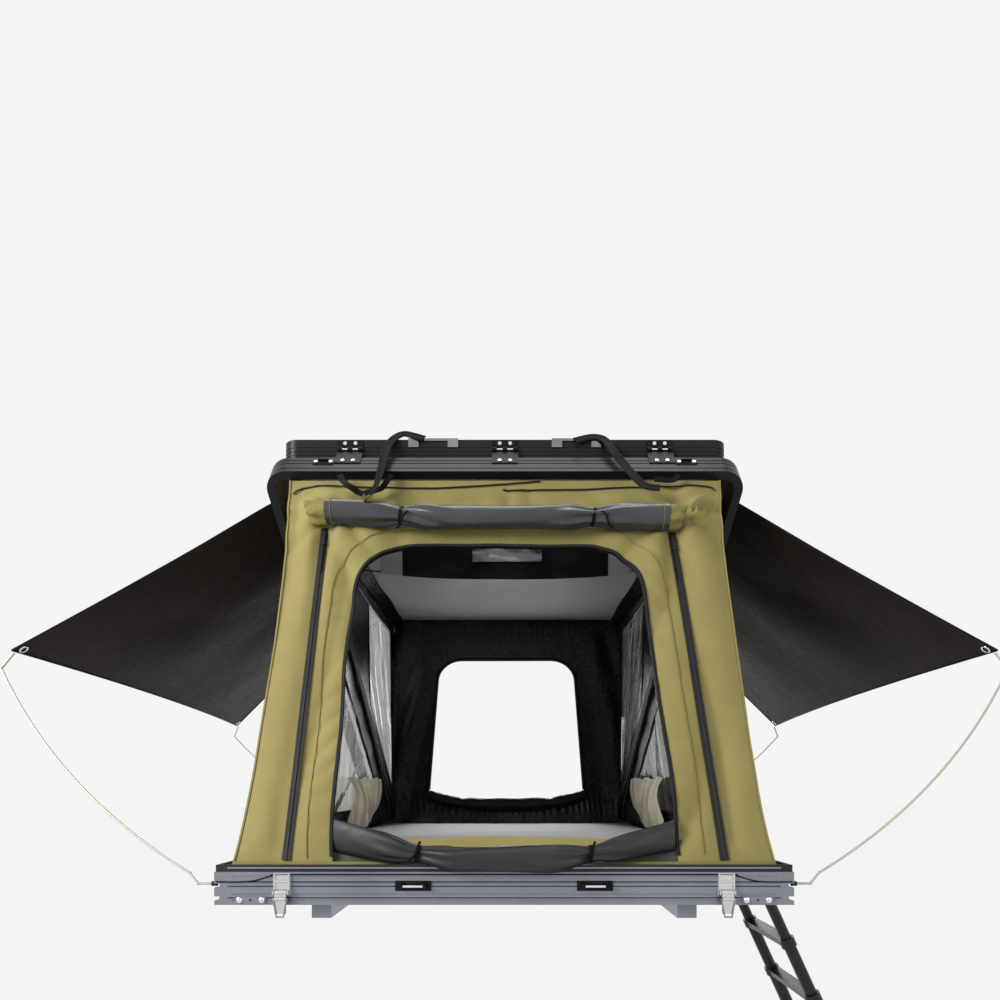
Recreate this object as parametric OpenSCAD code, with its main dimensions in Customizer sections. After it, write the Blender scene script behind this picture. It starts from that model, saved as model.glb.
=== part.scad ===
// Hard-shell roof top tent that folds like a Z: a base tray, a middle frame hinged to it at the far
// end, and a level lid hinged to the middle frame at the near end. Drawn open, as it is slept in.
// X runs to the right, Y away from the near end, Z up. The origin lies on the underside of the
// mounting channels, at the centre of their bolt pattern.

/* [Tray] */
// Length of the base tray
tray_l = 2100; // [1900:10:2300]
// Width of the base tray over its side rails
tray_w = 1514; // [1400:2:1640]
// Height of the tray rails
rail_h = 86; // [76:1:100]
// Width of each side rail
side_rail_w = 46; // [42:1:56]
// Depth of the front and rear rails
end_rail_d = 35; // [32:1:45]
// Wall of the hollow rails
rail_wall = 3.5; // [2.5:0.1:4.5]
// Height of the slots along the outside of the side rails
slot_h = 11; // [8:0.5:14]
// Depth of the slots along the outside of the side rails
slot_d = 14; // [8:0.5:18]
// Thickness of the floor panel
floor_t = 8; // [6:0.5:16]
// Height of the perimeter seal
seal_h = 18; // [14:0.5:22]
// Width of the perimeter seal
seal_w = 10; // [8:0.5:12]
// Thickness of the mattress at its edge
mattress_edge_h = 78; // [60:1:90]
// Rise of the mattress crown above its edge
mattress_crown = 12; // [6:1:20]

/* [Mounting channels] */
// Height of the mounting channels
channel_h = 40; // [30:1:50]
// Width of the mounting channels
channel_w = 52; // [44:1:70]
// Distance between the centres of the two channels
channel_span = 970; // [800:10:1100]
// Wall of the channels
channel_wall = 4; // [3:0.5:6]
// Distance between the bolt holes along a channel
bolt_spacing = 1000; // [700:10:1300]
// Diameter of the bolt holes
bolt_hole_d = 9; // [6.6:0.1:11]

/* [Middle frame] */
// Height of the middle frame's profile
frame_h = 80; // [64:1:96]
// Width of the middle frame's profile
frame_t = 28; // [24:1:32]
// Overhang of the middle frame past the tray on each side
frame_overhang = 21; // [16:1:30]
// Outer radius of the middle frame's corners
frame_corner_r = 77; // [60:1:100]
// Wall of the middle frame's profile
frame_wall = 3; // [2.5:0.1:4]
// Angle of the middle frame when the tent is open
open_angle = 35; // [32:0.5:38]

/* [Lid] */
// Height of the lid's rim
lid_h = 73; // [64:1:90]
// Width of the lid's rim profile
lid_rim_t = 30; // [26:1:36]
// Inset of the lid's sides and far end from the tray
lid_inset = 22; // [16:1:30]
// Outer radius of the lid's corners
lid_corner_r = 50; // [40:1:70]
// Thickness of the roof panel
roof_t = 2; // [1.5:0.5:4]
// Thickness of the ceiling board
ceiling_t = 20; // [12:1:24]
// Height of the near hinge pin above the middle frame
pin_rise = 40; // [34:1:44]

/* [Fabric] */
// Thickness of the wall fabric
wall_t = 3; // [2:0.5:4]
// Width of the near wall at its foot
wall_foot_w = 1448; // [1400:2:1500]
// Width of the near wall at its top
wall_head_w = 1388; // [1300:2:1440]
// Width of the door and of the far window at the foot
door_foot_w = 905; // [700:5:1000]
// Width of the door and of the far window at the top
door_head_w = 850; // [650:5:900]
// Height of the door above the tray
door_h = 970; // [800:5:1050]
// Height of the window sill above the tray
sill_h = 140; // [100:5:250]
// Reach of the awnings from the tent's middle
awning_reach = 1470; // [1200:10:1600]
// Radius of the rolled door flap
door_roll_r = 40; // [25:1:45]
// Radius of the rolled mesh flap
mesh_roll_r = 32; // [20:1:36]

/* [Ladder] */
// Distance between the ladder's two rails
ladder_w = 310; // [260:5:400]
// Distance from one rung to the next
rung_pitch = 185; // [160:5:220]
// Outer radius of the topmost ladder tube
ladder_tube_r = 16; // [14:0.5:20]
// Wall of each ladder tube
ladder_wall = 1.4; // [1.2:0.1:1.8]
// Lean of the ladder from the vertical
ladder_lean = 24.5; // [15:0.5:30]

/* [Hidden] */
$fn = 48;

// Clearances and small shared sizes
seat_gap = 2;
touch_gap = 0.3;
run_gap = 0.06;
groove_d = 1.6;
groove_h = 4;
screw_r = 6;
screw_h = 2.5;

// Levels of the closed tent
z_top = channel_h + rail_h;
z_seal = z_top + seal_h;
z_frame = z_seal + seat_gap;
z_frame_top = z_frame + frame_h;
z_lid = z_frame_top + seat_gap;
z_lid_top = z_lid + lid_h;

// Plan lines of the closed tent
y_near = -tray_l / 2;
y_far = tray_l / 2;
tray_x = tray_w / 2;
inner_x = tray_x - side_rail_w;
frame_x = tray_x + frame_overhang;
lid_x = tray_x - lid_inset;
lid_y_near = y_near + 0.5;
lid_y_far = y_far - lid_inset - 11;

// Hinge pins, as [y, z]
hinge_r = 6;
hinge_pin_r = 3;
leaf_t = 3;
far_pin = [y_far + hinge_r, z_frame - hinge_r];
near_pin = [y_near - hinge_r, z_frame_top + pin_rise];
hinge_side_x = tray_x - 249;
hinge_x = [-hinge_side_x, 0, hinge_side_x];

// Where a point [y, z] of the closed middle frame lies when the tent is open
function opened(p) =
    let (d = p - far_pin)
    far_pin + [d.x * cos(open_angle) + d.y * sin(open_angle),
               -d.x * sin(open_angle) + d.y * cos(open_angle)];

// The lid stays level, so it moves as its hinge pin does
lid_shift = opened(near_pin) - near_pin;
z_lid_open = z_lid + lid_shift.y;

// Foot and head of the leaning end walls, as [y, z]
near_foot = [y_near + end_rail_d - 7, z_top];
near_head = opened([y_near + frame_t + 6, z_frame - 0.6]);
far_foot = [y_far - end_rail_d + 1, z_top];
far_head = [lid_y_far - lid_rim_t + 9 + lid_shift.x, z_lid_open - 1.5];
near_lean = atan2(near_head.x - near_foot.x, near_head.y - near_foot.y);
far_lean = atan2(far_head.x - far_foot.x, far_head.y - far_foot.y);
near_len = norm(near_head - near_foot);
far_len = norm(far_head - far_foot);
function near_y(z) = near_foot.x + (z - near_foot.y) * tan(near_lean);
function far_y(z) = far_foot.x + (z - far_foot.y) * tan(far_lean);

// Side walls stand on the side rails and end under the lid's rim
side_x = inner_x + 1.5;
side_t = 1.5;
side_gap = 8;

// Moves a part of the closed middle frame to its open place
module opened_frame() {
    translate([0, far_pin.x, far_pin.y])
        rotate([-open_angle, 0, 0])
            translate([0, -far_pin.x, -far_pin.y]) children();
}

// Moves a part of the closed lid to its open place
module raised_lid() {
    translate([0, lid_shift.x, lid_shift.y]) children();
}

// Draws its children on both sides of the tent
module both_sides() {
    children();
    mirror([1, 0, 0]) children();
}

// Draws its children at each of the hinges
module at_hinges() {
    for (x = hinge_x) translate([x, 0, 0]) children();
}

// Extrudes a profile, drawn as depth and height, along X over a length centred on the middle
module along_x(len) {
    translate([-len / 2, 0, 0]) rotate([90, 0, 90]) linear_extrude(len) children();
}

// Extrudes a profile along Y from one place to another
module along_y(y0, y1) {
    translate([0, y1, 0]) rotate([90, 0, 0]) linear_extrude(y1 - y0) children();
}

// Box between two corners
module box(lo, hi) {
    translate(lo) cube(hi - lo);
}

// Rod along X at [y, z]
module rod_x(x0, x1, p, r) {
    translate([x0, p.x, p.y]) rotate([0, 90, 0]) cylinder(h = x1 - x0, r = r);
}

// Hollow profile with grooves along its outer face, which lies at depth 0
module grooved_profile(d, h, wall, grooves) {
    difference() {
        square([d, h]);
        translate([wall, wall]) square([d - 2 * wall, h - 2 * wall]);
        for (v = grooves) translate([-1, v]) square([1 + groove_d, groove_h]);
    }
}

// Closed solid between two sheets of points, each given as a function of u and v from 0 to 1
module grid_solid(nu, nv, upper, lower) {
    row = nv + 1;
    sheet = (nu + 1) * row;
    points = concat(
        [for (i = [0:nu]) for (j = [0:nv]) upper(i / nu, j / nv)],
        [for (i = [0:nu]) for (j = [0:nv]) lower(i / nu, j / nv)]);
    at = function (i, j) i * row + j;
    faces = concat(
        [for (i = [0:nu - 1]) for (j = [0:nv - 1]) [at(i, j), at(i, j + 1), at(i + 1, j + 1)]],
        [for (i = [0:nu - 1]) for (j = [0:nv - 1]) [at(i, j), at(i + 1, j + 1), at(i + 1, j)]],
        [for (i = [0:nu - 1]) for (j = [0:nv - 1])
            [sheet + at(i, j), sheet + at(i + 1, j), sheet + at(i + 1, j + 1)]],
        [for (i = [0:nu - 1]) for (j = [0:nv - 1])
            [sheet + at(i, j), sheet + at(i + 1, j + 1), sheet + at(i, j + 1)]],
        [for (i = [0:nu - 1]) [at(i, 0), at(i + 1, 0), sheet + at(i + 1, 0)]],
        [for (i = [0:nu - 1]) [at(i, 0), sheet + at(i + 1, 0), sheet + at(i, 0)]],
        [for (i = [0:nu - 1]) [at(i + 1, nv), at(i, nv), sheet + at(i, nv)]],
        [for (i = [0:nu - 1]) [at(i + 1, nv), sheet + at(i, nv), sheet + at(i + 1, nv)]],
        [for (j = [0:nv - 1]) [at(0, j + 1), at(0, j), sheet + at(0, j)]],
        [for (j = [0:nv - 1]) [at(0, j + 1), sheet + at(0, j), sheet + at(0, j + 1)]],
        [for (j = [0:nv - 1]) [at(nu, j), at(nu, j + 1), sheet + at(nu, j + 1)]],
        [for (j = [0:nv - 1]) [at(nu, j), sheet + at(nu, j + 1), sheet + at(nu, j)]]);
    polyhedron(points, faces);
}

// Rolled cloth along X: its centre line and radius are functions of a share from 0 to 1
module roll_solid(rings, sides, centre, radius) {
    points = concat(
        [for (i = [0:rings]) for (j = [0:sides - 1])
            let (c = centre(i / rings), r = radius(i / rings), a = 360 * j / sides)
            [c.x, c.y + r * cos(a), c.z + r * sin(a)]],
        [centre(0), centre(1)]);
    at = function (i, j) i * sides + j % sides;
    first = (rings + 1) * sides;
    faces = concat(
        [for (i = [0:rings - 1]) for (j = [0:sides - 1]) [at(i, j), at(i + 1, j), at(i + 1, j + 1)]],
        [for (i = [0:rings - 1]) for (j = [0:sides - 1]) [at(i, j), at(i + 1, j + 1), at(i, j + 1)]],
        [for (j = [0:sides - 1]) [first, at(0, j), at(0, j + 1)]],
        [for (j = [0:sides - 1]) [first + 1, at(rings, j + 1), at(rings, j)]]);
    polyhedron(points, faces);
}

// Base tray

// Roof-bar channels with their bolt holes
module mounting_channels() {
    channel_end = 30;
    plug_t = 4;
    inner_half = channel_w / 2 - channel_wall;
    color("#1c1d20")
    for (sx = [-1, 1])
        difference() {
            translate([sx * channel_span / 2, 0, 0])
                along_y(y_near + channel_end, y_far - channel_end)
                    difference() {
                        translate([-channel_w / 2, 0]) square([channel_w, channel_h]);
                        translate([-channel_w / 2 + channel_wall, channel_wall])
                            square([channel_w - 2 * channel_wall, channel_h - 2 * channel_wall]);
                    }
            for (sy = [-1, 1])
                translate([sx * channel_span / 2, sy * bolt_spacing / 2, -1])
                    cylinder(h = channel_wall + 2, d = bolt_hole_d);
        }
    color("#1c1d20")
    for (sx = [-1, 1], m = [0, 1])
        mirror([0, m, 0]) translate([sx * channel_span / 2, y_near + channel_end, 0])
            box([-inner_half, 0, channel_wall], [inner_half, plug_t, channel_h - channel_wall]);
}

// Grooved rail across the near end, between the side rails
module end_rail() {
    grooves = [0.12, 0.3, 0.66, 0.84] * rail_h;
    translate([0, y_near, channel_h])
        along_x(2 * inner_x) grooved_profile(end_rail_d, rail_h, rail_wall, grooves);
}

module base_front_rail() {
    color("#25282d") end_rail();
}

module base_rear_rail() {
    color("#25282d") mirror([0, 1, 0]) end_rail();
}

// Side rails: hollow, with two slots open to the outside, and a tab with a stud for each gas strut
module base_side_rails() {
    slot_low = 0.13 * rail_h;
    slot_high = 0.52 * rail_h;
    hollow_x = slot_d + 2 * rail_wall;
    hollow_d = side_rail_w - slot_d - 3 * rail_wall;
    drain_d = 5;
    drain_in = 120;
    color("#25282d") {
        for (m = [0, 1]) mirror([m, 0, 0]) {
            difference() {
                translate([-tray_x, 0, channel_h]) along_y(y_near, y_far) difference() {
                    square([side_rail_w, rail_h]);
                    for (v = [slot_low, slot_high]) translate([-1, v]) square([slot_d + 1, slot_h]);
                    translate([hollow_x, rail_wall]) square([hollow_d, rail_h - 2 * rail_wall]);
                }
                for (y = [y_near + drain_in, y_far - drain_in])
                    translate([hollow_x + hollow_d / 2 - tray_x, y, channel_h - 1])
                        cylinder(h = rail_wall + 2, d = drain_d);
            }
            for (y = [y_near, y_far - rail_wall])
                box([hollow_x - tray_x, y, channel_h + rail_wall],
                    [hollow_x + hollow_d - tray_x, y + rail_wall, channel_h + rail_h - rail_wall]);
            box([-strut_x + 11, strut_foot.x - 22, z_top],
                [-strut_x + 16, strut_foot.x + 22, strut_foot.y + 14]);
            rod_x(-strut_x - 9, -strut_x + 11, strut_foot, strut_pin_r);
        }
    }
}

module base_floor() {
    floor_rise = 8;
    color("#8b8d90")
        box([-inner_x, y_near + end_rail_d, channel_h + floor_rise],
            [inner_x, y_far - end_rail_d, channel_h + floor_rise + floor_t]);
}

// Four strips of seal on top of the rails
module base_seal() {
    edge = 3;
    x1 = tray_x - edge;
    x0 = x1 - seal_w;
    y1 = y_far - edge;
    y0 = y1 - seal_w;
    color("#101012") {
        both_sides() box([x0, -y1, z_top], [x1, y1, z_seal]);
        for (m = [0, 1]) mirror([0, m, 0])
            box([touch_gap - x0, y0, z_top], [x0 - touch_gap, y1, z_seal]);
    }
}

// Mattress with a crowned top and sides drawn in between its corners
mattress_x = inner_x - 16;
mattress_y = tray_l / 2 - end_rail_d - 12;
mattress_z = channel_h + 8 + floor_t + touch_gap;
mattress_draw = 14;

// Plan of the mattress: its sides are drawn in between the corners
function mattress_plan(u, v) =
    let (su = 2 * u - 1, sv = 2 * v - 1)
    [su * (mattress_x - mattress_draw * (1 - sv * sv) * abs(su)),
     sv * (mattress_y - mattress_draw * (1 - su * su) * abs(sv))];

// How full the mattress is at a place: 1 over most of it and 0 at its edge
function mattress_fill(u, v) =
    let (su = abs(2 * u - 1), sv = abs(2 * v - 1)) (1 - su ^ 6) * (1 - sv ^ 6);

module mattress() {
    upper = function (u, v)
        let (p = mattress_plan(u, v))
        [p.x, p.y, mattress_z + mattress_edge_h + mattress_crown * mattress_fill(u, v)];
    lower = function (u, v) let (p = mattress_plan(u, v)) [p.x, p.y, mattress_z];
    color("#d3d2ce") grid_solid(14, 18, upper, lower);
}

// Latches and strikes on the near face

latch_x = tray_x - 178;
latch_w = 44;
latch_pivot = [y_near - 12, z_top - 52];
latch_pin_r = 3;
lever_w = 30;
bail_pivot = latch_pivot + [-7.5, -16];
bail_r = 2;
bail_w = 36;
bail_drop = 46;
bail_foot_w = 18;
bail_knee = 0.5;

// Base plate of a latch, with two ears that hold its pin
module latch_plate() {
    ear_t = 3;
    ear_x = latch_w / 2 - 1;
    flange_t = 4;
    flange_h = 5;
    cross_r = 3;
    box([-latch_w / 2, y_near - leaf_t, latch_pivot.y - 8], [latch_w / 2, y_near, z_top - 3]);
    both_sides() {
        box([ear_x - ear_t, latch_pivot.x - 5, latch_pivot.y - 6],
            [ear_x, y_near - leaf_t, latch_pivot.y + 6]);
        box([ear_x - flange_t, y_near - leaf_t - flange_h, latch_pivot.y + 6],
            [ear_x, y_near - leaf_t, z_top - 5]);
    }
    rod_x(-ear_x + 1, ear_x - 1, [y_near - leaf_t - 2, z_top - 24], cross_r);
    rod_x(-ear_x + 1, ear_x - 1, latch_pivot, latch_pin_r);
}

module latch_plates() {
    color("#b9babb") for (sx = [-1, 1]) translate([sx * latch_x, 0, 0]) latch_plate();
}

// Lever that hangs open from the latch pin and carries the bail's tube
module latch_lever() {
    hub_r = 6;
    blade_t = 3;
    blade_y = latch_pivot.x - 2;
    tube_r = 4;
    difference() {
        union() {
            rod_x(-lever_w / 2, lever_w / 2, latch_pivot, hub_r);
            box([-lever_w / 2, blade_y - blade_t, latch_pivot.y - 54],
                [lever_w / 2, blade_y, latch_pivot.y]);
            rod_x(-lever_w / 2, lever_w / 2, bail_pivot, tube_r);
        }
        rod_x(-lever_w, lever_w, latch_pivot, latch_pin_r + run_gap);
        rod_x(-lever_w, lever_w, bail_pivot, bail_r + run_gap);
    }
}

module latch_lever_left() {
    color("#c4c5c6") translate([-latch_x, 0, 0]) latch_lever();
}

module latch_lever_right() {
    color("#c4c5c6") translate([latch_x, 0, 0]) latch_lever();
}

// Wire loop that hangs from the lever
module latch_bail() {
    foot = bail_pivot - [0, bail_drop];
    side_l = norm([(bail_w - bail_foot_w) / 2, bail_drop]);
    spread = atan2((bail_w - bail_foot_w) / 2, bail_drop);
    rod_x(-bail_w / 2, bail_w / 2, bail_pivot, bail_r);
    rod_x(-bail_foot_w / 2, bail_foot_w / 2, foot, bail_r);
    for (sx = [-1, 1]) {
        translate([sx * bail_foot_w / 2, foot.x, foot.y]) rotate([0, sx * spread, 0])
            cylinder(h = side_l, r = bail_r);
        translate([sx * bail_w / 2, bail_pivot.x, bail_pivot.y]) sphere(r = bail_r + bail_knee);
        translate([sx * bail_foot_w / 2, foot.x, foot.y]) sphere(r = bail_r + bail_knee);
    }
}

module latch_bail_left() {
    color("#d0d1d2") translate([-latch_x, 0, 0]) latch_bail();
}

module latch_bail_right() {
    color("#d0d1d2") translate([latch_x, 0, 0]) latch_bail();
}

strike_x = tray_x - 520;
strike_z = channel_h + 50;
strike_out = 11;
strike_bar_r = 3.5;
strike_ear_x = 26;
strike_ear_t = 9;

// Bracket with two peaked ears
module strike_bracket() {
    half_w = 47;
    half_h = 13;
    peak_h = 12;
    difference() {
        union() {
            box([-half_w, y_near - leaf_t, strike_z - half_h], [half_w, y_near, strike_z + half_h]);
            both_sides()
                translate([strike_ear_x, y_near - leaf_t, strike_z])
                    rotate([90, 0, 90])
                        linear_extrude(strike_ear_t)
                            polygon([[0, -peak_h], [-strike_out - 3, -5], [-strike_out - 3, 5], [0, peak_h]]);
        }
        rod_x(-half_w, half_w, [y_near - strike_out, strike_z], strike_bar_r);
    }
}

module strike_brackets() {
    color("#17181a") for (sx = [-1, 1]) translate([sx * strike_x, 0, 0]) strike_bracket();
}

module strike_bars() {
    end_x = strike_ear_x + strike_ear_t;
    color("#d5d6d8") for (sx = [-1, 1]) translate([sx * strike_x, 0, 0])
        rod_x(-end_x, end_x, [y_near - strike_out, strike_z], strike_bar_r);
}

// Small plates near the lower corners of the near face, each with two bolts
module corner_plates() {
    plate_x = tray_x - 96;
    half_w = 40;
    half_h = 9;
    bolt_x = 29;
    hole_r = 4;
    bolt_r = 5.5;
    bolt_h = 4;
    plate_z = channel_h + 13;
    color("#17181a") for (sx = [-1, 1]) translate([sx * plate_x, 0, 0]) {
        difference() {
            box([-half_w, y_near - leaf_t, plate_z - half_h], [half_w, y_near, plate_z + half_h]);
            translate([0, y_near + 1, plate_z]) rotate([90, 0, 0]) cylinder(h = leaf_t + 2, r = hole_r);
        }
        for (bx = [-bolt_x, bolt_x])
            translate([bx, y_near - leaf_t, plate_z]) rotate([90, 0, 0]) cylinder(h = bolt_h, r = bolt_r);
    }
}

// Hinges

far_hinge_w = 84;
far_knuckle_w = 27;
near_hinge_w = 84;
near_knuckle_w = 16;
knuckle_gap = 0.5;

// Knuckle around a pin
module knuckle(x0, x1, pin, bore_r) {
    difference() {
        rod_x(x0, x1, pin, hinge_r);
        rod_x(x0 - 1, x1 + 1, pin, bore_r);
    }
}

// Leaf of a hinge with its two outer knuckles: the plate lies on a face at y_face
module outer_leaf(w, inner_w, pin, y0, y1, z0, z1, bore_r) {
    x0 = max(inner_w / 2 + knuckle_gap, w / 2 - inner_w);
    box([-w / 2, y0, z0], [w / 2, y1, z1]);
    both_sides() {
        knuckle(x0, w / 2, pin, bore_r);
        difference() {
            box([x0, y0, min(z1, pin.y)], [w / 2, y1, max(z0, pin.y)]);
            rod_x(0, w, pin, hinge_r - 1);
        }
    }
}

// Leaf of a hinge with its middle knuckle
module middle_leaf(w, inner_w, pin, y0, y1, z0, z1, bore_r) {
    box([-w / 2, y0, z0], [w / 2, y1, z1]);
    knuckle(-inner_w / 2, inner_w / 2, pin, bore_r);
    difference() {
        box([-inner_w / 2, y0, min(z1, pin.y)], [inner_w / 2, y1, max(z0, pin.y)]);
        rod_x(-w, w, pin, hinge_r - 1);
    }
}

// Leaves on the tray's far face, with the hinge pins
module rear_hinge_base_leaves() {
    leaf_h = 40;
    color("#17181a") at_hinges() {
        outer_leaf(far_hinge_w, far_knuckle_w, far_pin, y_far, y_far + leaf_t,
            far_pin.y - 8 - leaf_h, far_pin.y - 8, hinge_pin_r + 0.02);
        rod_x(-far_hinge_w / 2, far_hinge_w / 2, far_pin, hinge_pin_r);
    }
}

// Leaves on the middle frame's far face
module rear_hinge_frame_leaves() {
    leaf_h = 42;
    color("#17181a") opened_frame() at_hinges()
        middle_leaf(far_hinge_w, far_knuckle_w, far_pin, y_far, y_far + leaf_t,
            far_pin.y + 8, far_pin.y + 8 + leaf_h, hinge_pin_r + run_gap);
}

// Long leaves that reach from the near pin down to the middle frame's near face
near_leaf_low = near_pin.y - 74;
module near_hinge_frame_leaves() {
    color("#17181a") opened_frame() at_hinges()
        middle_leaf(near_hinge_w, near_knuckle_w, near_pin, y_near - leaf_t, y_near,
            near_leaf_low, near_pin.y - 8, hinge_pin_r + 0.02);
}

module near_hinge_pins() {
    color("#d5d6d8") opened_frame() at_hinges()
        rod_x(-near_hinge_w / 2, near_hinge_w / 2, near_pin, hinge_pin_r);
}

// Short leaves on the lid's near rim
module near_hinge_lid_leaves() {
    color("#17181a") raised_lid() at_hinges()
        outer_leaf(near_hinge_w, near_knuckle_w, near_pin, lid_y_near - leaf_t, lid_y_near,
            near_pin.y + 8, z_lid_top - 3, hinge_pin_r + run_gap);
}

// Screw head standing on a near face at depth y
module near_screw(x, y, z) {
    translate([x, y, z]) rotate([90, 0, 0]) cylinder(h = screw_h, r = screw_r);
}

screw_x = 17;
keeper_x = latch_x + 7;
keeper_z = z_frame_top - 30;
keeper_screw_x = 24;

module frame_screws() {
    color("#cfd0d2") opened_frame() {
        at_hinges() {
            for (x = [-screw_x, screw_x]) {
                near_screw(x, y_near - leaf_t, near_leaf_low + 12);
                translate([x, y_far + leaf_t + screw_h, far_pin.y + 36]) near_screw(0, 0, 0);
            }
        }
        for (sx = [-1, 1], x = [-keeper_screw_x, keeper_screw_x])
            near_screw(sx * keeper_x + x, y_near - leaf_t, keeper_z);
    }
}

// Keepers for the latch bails on the middle frame's near face
module keeper_plates() {
    half_w = 34;
    half_h = 9;
    hook = 7;
    color("#17181a") opened_frame() for (sx = [-1, 1]) translate([sx * keeper_x, 0, 0]) {
        box([-half_w, y_near - leaf_t, keeper_z - half_h], [half_w, y_near, keeper_z + half_h]);
        box([-keeper_screw_x + 7, y_near - leaf_t - hook, keeper_z + half_h - 4],
            [keeper_screw_x - 7, y_near - leaf_t, keeper_z + half_h]);
    }
}

module lid_screws() {
    color("#cfd0d2") raised_lid() at_hinges()
        for (x = [-screw_x, screw_x]) near_screw(x, lid_y_near - leaf_t, z_lid_top - 14);
}

// Middle frame

module frame_profile() {
    grooves = [0.2, 0.55, 0.75] * frame_h;
    grooved_profile(frame_t, frame_h, frame_wall, grooves);
}

// One end of a ring: a straight run along X and two bent corners, at the near side
module ring_end(half_x, y0, corner_r) {
    translate([0, y0, 0]) along_x(2 * (half_x - corner_r)) children();
    for (m = [0, 1]) mirror([m, 0, 0])
        translate([half_x - corner_r, y0 + corner_r, 0])
            rotate([0, 0, -90])
                rotate_extrude(angle = 90)
                    translate([corner_r, 0]) mirror([1, 0]) children();
}

module frame_near_rail() {
    color("#2b2e33") opened_frame() translate([0, 0, z_frame])
        ring_end(frame_x, y_near, frame_corner_r) frame_profile();
}

module frame_far_rail() {
    color("#2b2e33") opened_frame() translate([0, 0, z_frame]) mirror([0, 1, 0])
        ring_end(frame_x, -y_far, frame_corner_r) frame_profile();
}

// Arms with the studs that the gas struts push on
module frame_arms() {
    stud_x = strut_x + strut_rod_r + 1 + 0.5;
    color("#2b2e33") opened_frame() for (m = [0, 1]) mirror([m, 0, 0]) {
        translate([-frame_x, 0, z_frame])
            along_y(y_near + frame_corner_r, y_far - frame_corner_r) frame_profile();
        rod_x(-frame_x + frame_t - 0.5, -stud_x, strut_head, strut_pin_r);
    }
}

// Gas struts, one on each side, drawn along the line from the tray's tab to the arm's stud

strut_pin_r = 4;
strut_x = tray_x - 24;
strut_foot = [-110, z_top + 34];
strut_head = [496, z_frame + 40];
strut_head_open = opened(strut_head);
strut_len = norm(strut_head_open - strut_foot);
strut_angle = atan2(strut_head_open.y - strut_foot.y, strut_head_open.x - strut_foot.x);
strut_tube_r = 9;
strut_tube_l = 340;
strut_rod_r = 4;
strut_eye_r = 9;
strut_eye_w = 8;

// Places its children on the strut's own line: X across, Y along the strut from its foot
module on_strut() {
    for (m = [0, 1]) mirror([m, 0, 0])
        translate([strut_x, strut_foot.x, strut_foot.y]) rotate([strut_angle, 0, 0]) children();
}

module strut_cylinders() {
    neck = 22;
    color("#141517") on_strut() {
        difference() {
            union() {
                rod_x(-strut_eye_w / 2, strut_eye_w / 2, [0, 0], strut_eye_r);
                translate([0, 4, 0]) rotate([-90, 0, 0]) cylinder(h = neck, r = 3.8);
            }
            rod_x(-strut_eye_w, strut_eye_w, [0, 0], strut_pin_r + run_gap);
        }
        translate([0, neck, 0]) rotate([-90, 0, 0]) difference() {
            cylinder(h = strut_tube_l, r = strut_tube_r);
            translate([0, 0, 12]) cylinder(h = strut_tube_l, r = strut_rod_r + run_gap);
        }
    }
}

module strut_rods() {
    overlap = 60;
    rod_start = 22 + strut_tube_l - overlap;
    eye_half = strut_rod_r + 1;
    color("#c9cacc") on_strut() {
        translate([0, rod_start, 0]) rotate([-90, 0, 0])
            cylinder(h = strut_len - rod_start - strut_eye_r / 2, r = strut_rod_r);
        rod_x(-eye_half, eye_half, [strut_len, 0], strut_eye_r);
    }
}

// Lid

module lid_profile() {
    grooves = [0.1, 0.26, 0.42, 0.6] * lid_h;
    grooved_profile(lid_rim_t, lid_h, rail_wall, grooves);
}

module lid_near_rim() {
    color("#25282d") raised_lid() translate([0, 0, z_lid])
        ring_end(lid_x, lid_y_near, lid_corner_r) lid_profile();
}

module lid_far_rim() {
    color("#25282d") raised_lid() translate([0, 0, z_lid]) mirror([0, 1, 0])
        ring_end(lid_x, -lid_y_far, lid_corner_r) lid_profile();
}

module lid_side_rims() {
    color("#25282d") raised_lid() for (m = [0, 1]) mirror([m, 0, 0])
        translate([-lid_x, 0, z_lid])
            along_y(lid_y_near + lid_corner_r, lid_y_far - lid_corner_r) lid_profile();
}

// Rounded rectangle around the inside of the lid's rim
module lid_plan() {
    r = lid_corner_r - lid_rim_t;
    x = lid_x - lid_rim_t;
    y0 = lid_y_near + lid_rim_t;
    y1 = lid_y_far - lid_rim_t;
    translate([-x, y0 + r]) square([2 * x, y1 - y0 - 2 * r]);
    translate([-x + r, y0]) square([2 * (x - r), y1 - y0]);
    for (sx = [-1, 1], y = [y0 + r, y1 - r]) translate([sx * (x - r), y]) circle(r = r);
}

// Roof sheet set into the rim
module lid_panel() {
    color("#2b2e33") raised_lid() translate([0, 0, z_lid_top - roof_t - 1])
        linear_extrude(roof_t) lid_plan();
}

// Bars across the lid that carry the ceiling board
module lid_crossbars() {
    bar_w = 40;
    bar_h = 24;
    x = lid_x - lid_rim_t;
    mid_y = (lid_y_near + lid_y_far) / 2;
    spread = (lid_y_far - lid_y_near) / 2 - 160;
    color("#8b8d90") raised_lid() for (s = [-1, 0, 1])
        box([-x, mid_y + s * spread - bar_w / 2, z_lid],
            [x, mid_y + s * spread + bar_w / 2, z_lid + bar_h]);
}

// Quilted board under the crossbars
module ceiling_panel() {
    x = lid_x - lid_rim_t - 6;
    side_space = 44;
    color("#77777a") raised_lid()
        box([-x, lid_y_near + side_space, z_lid - ceiling_t],
            [x, lid_y_far - side_space, z_lid]);
}

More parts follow.
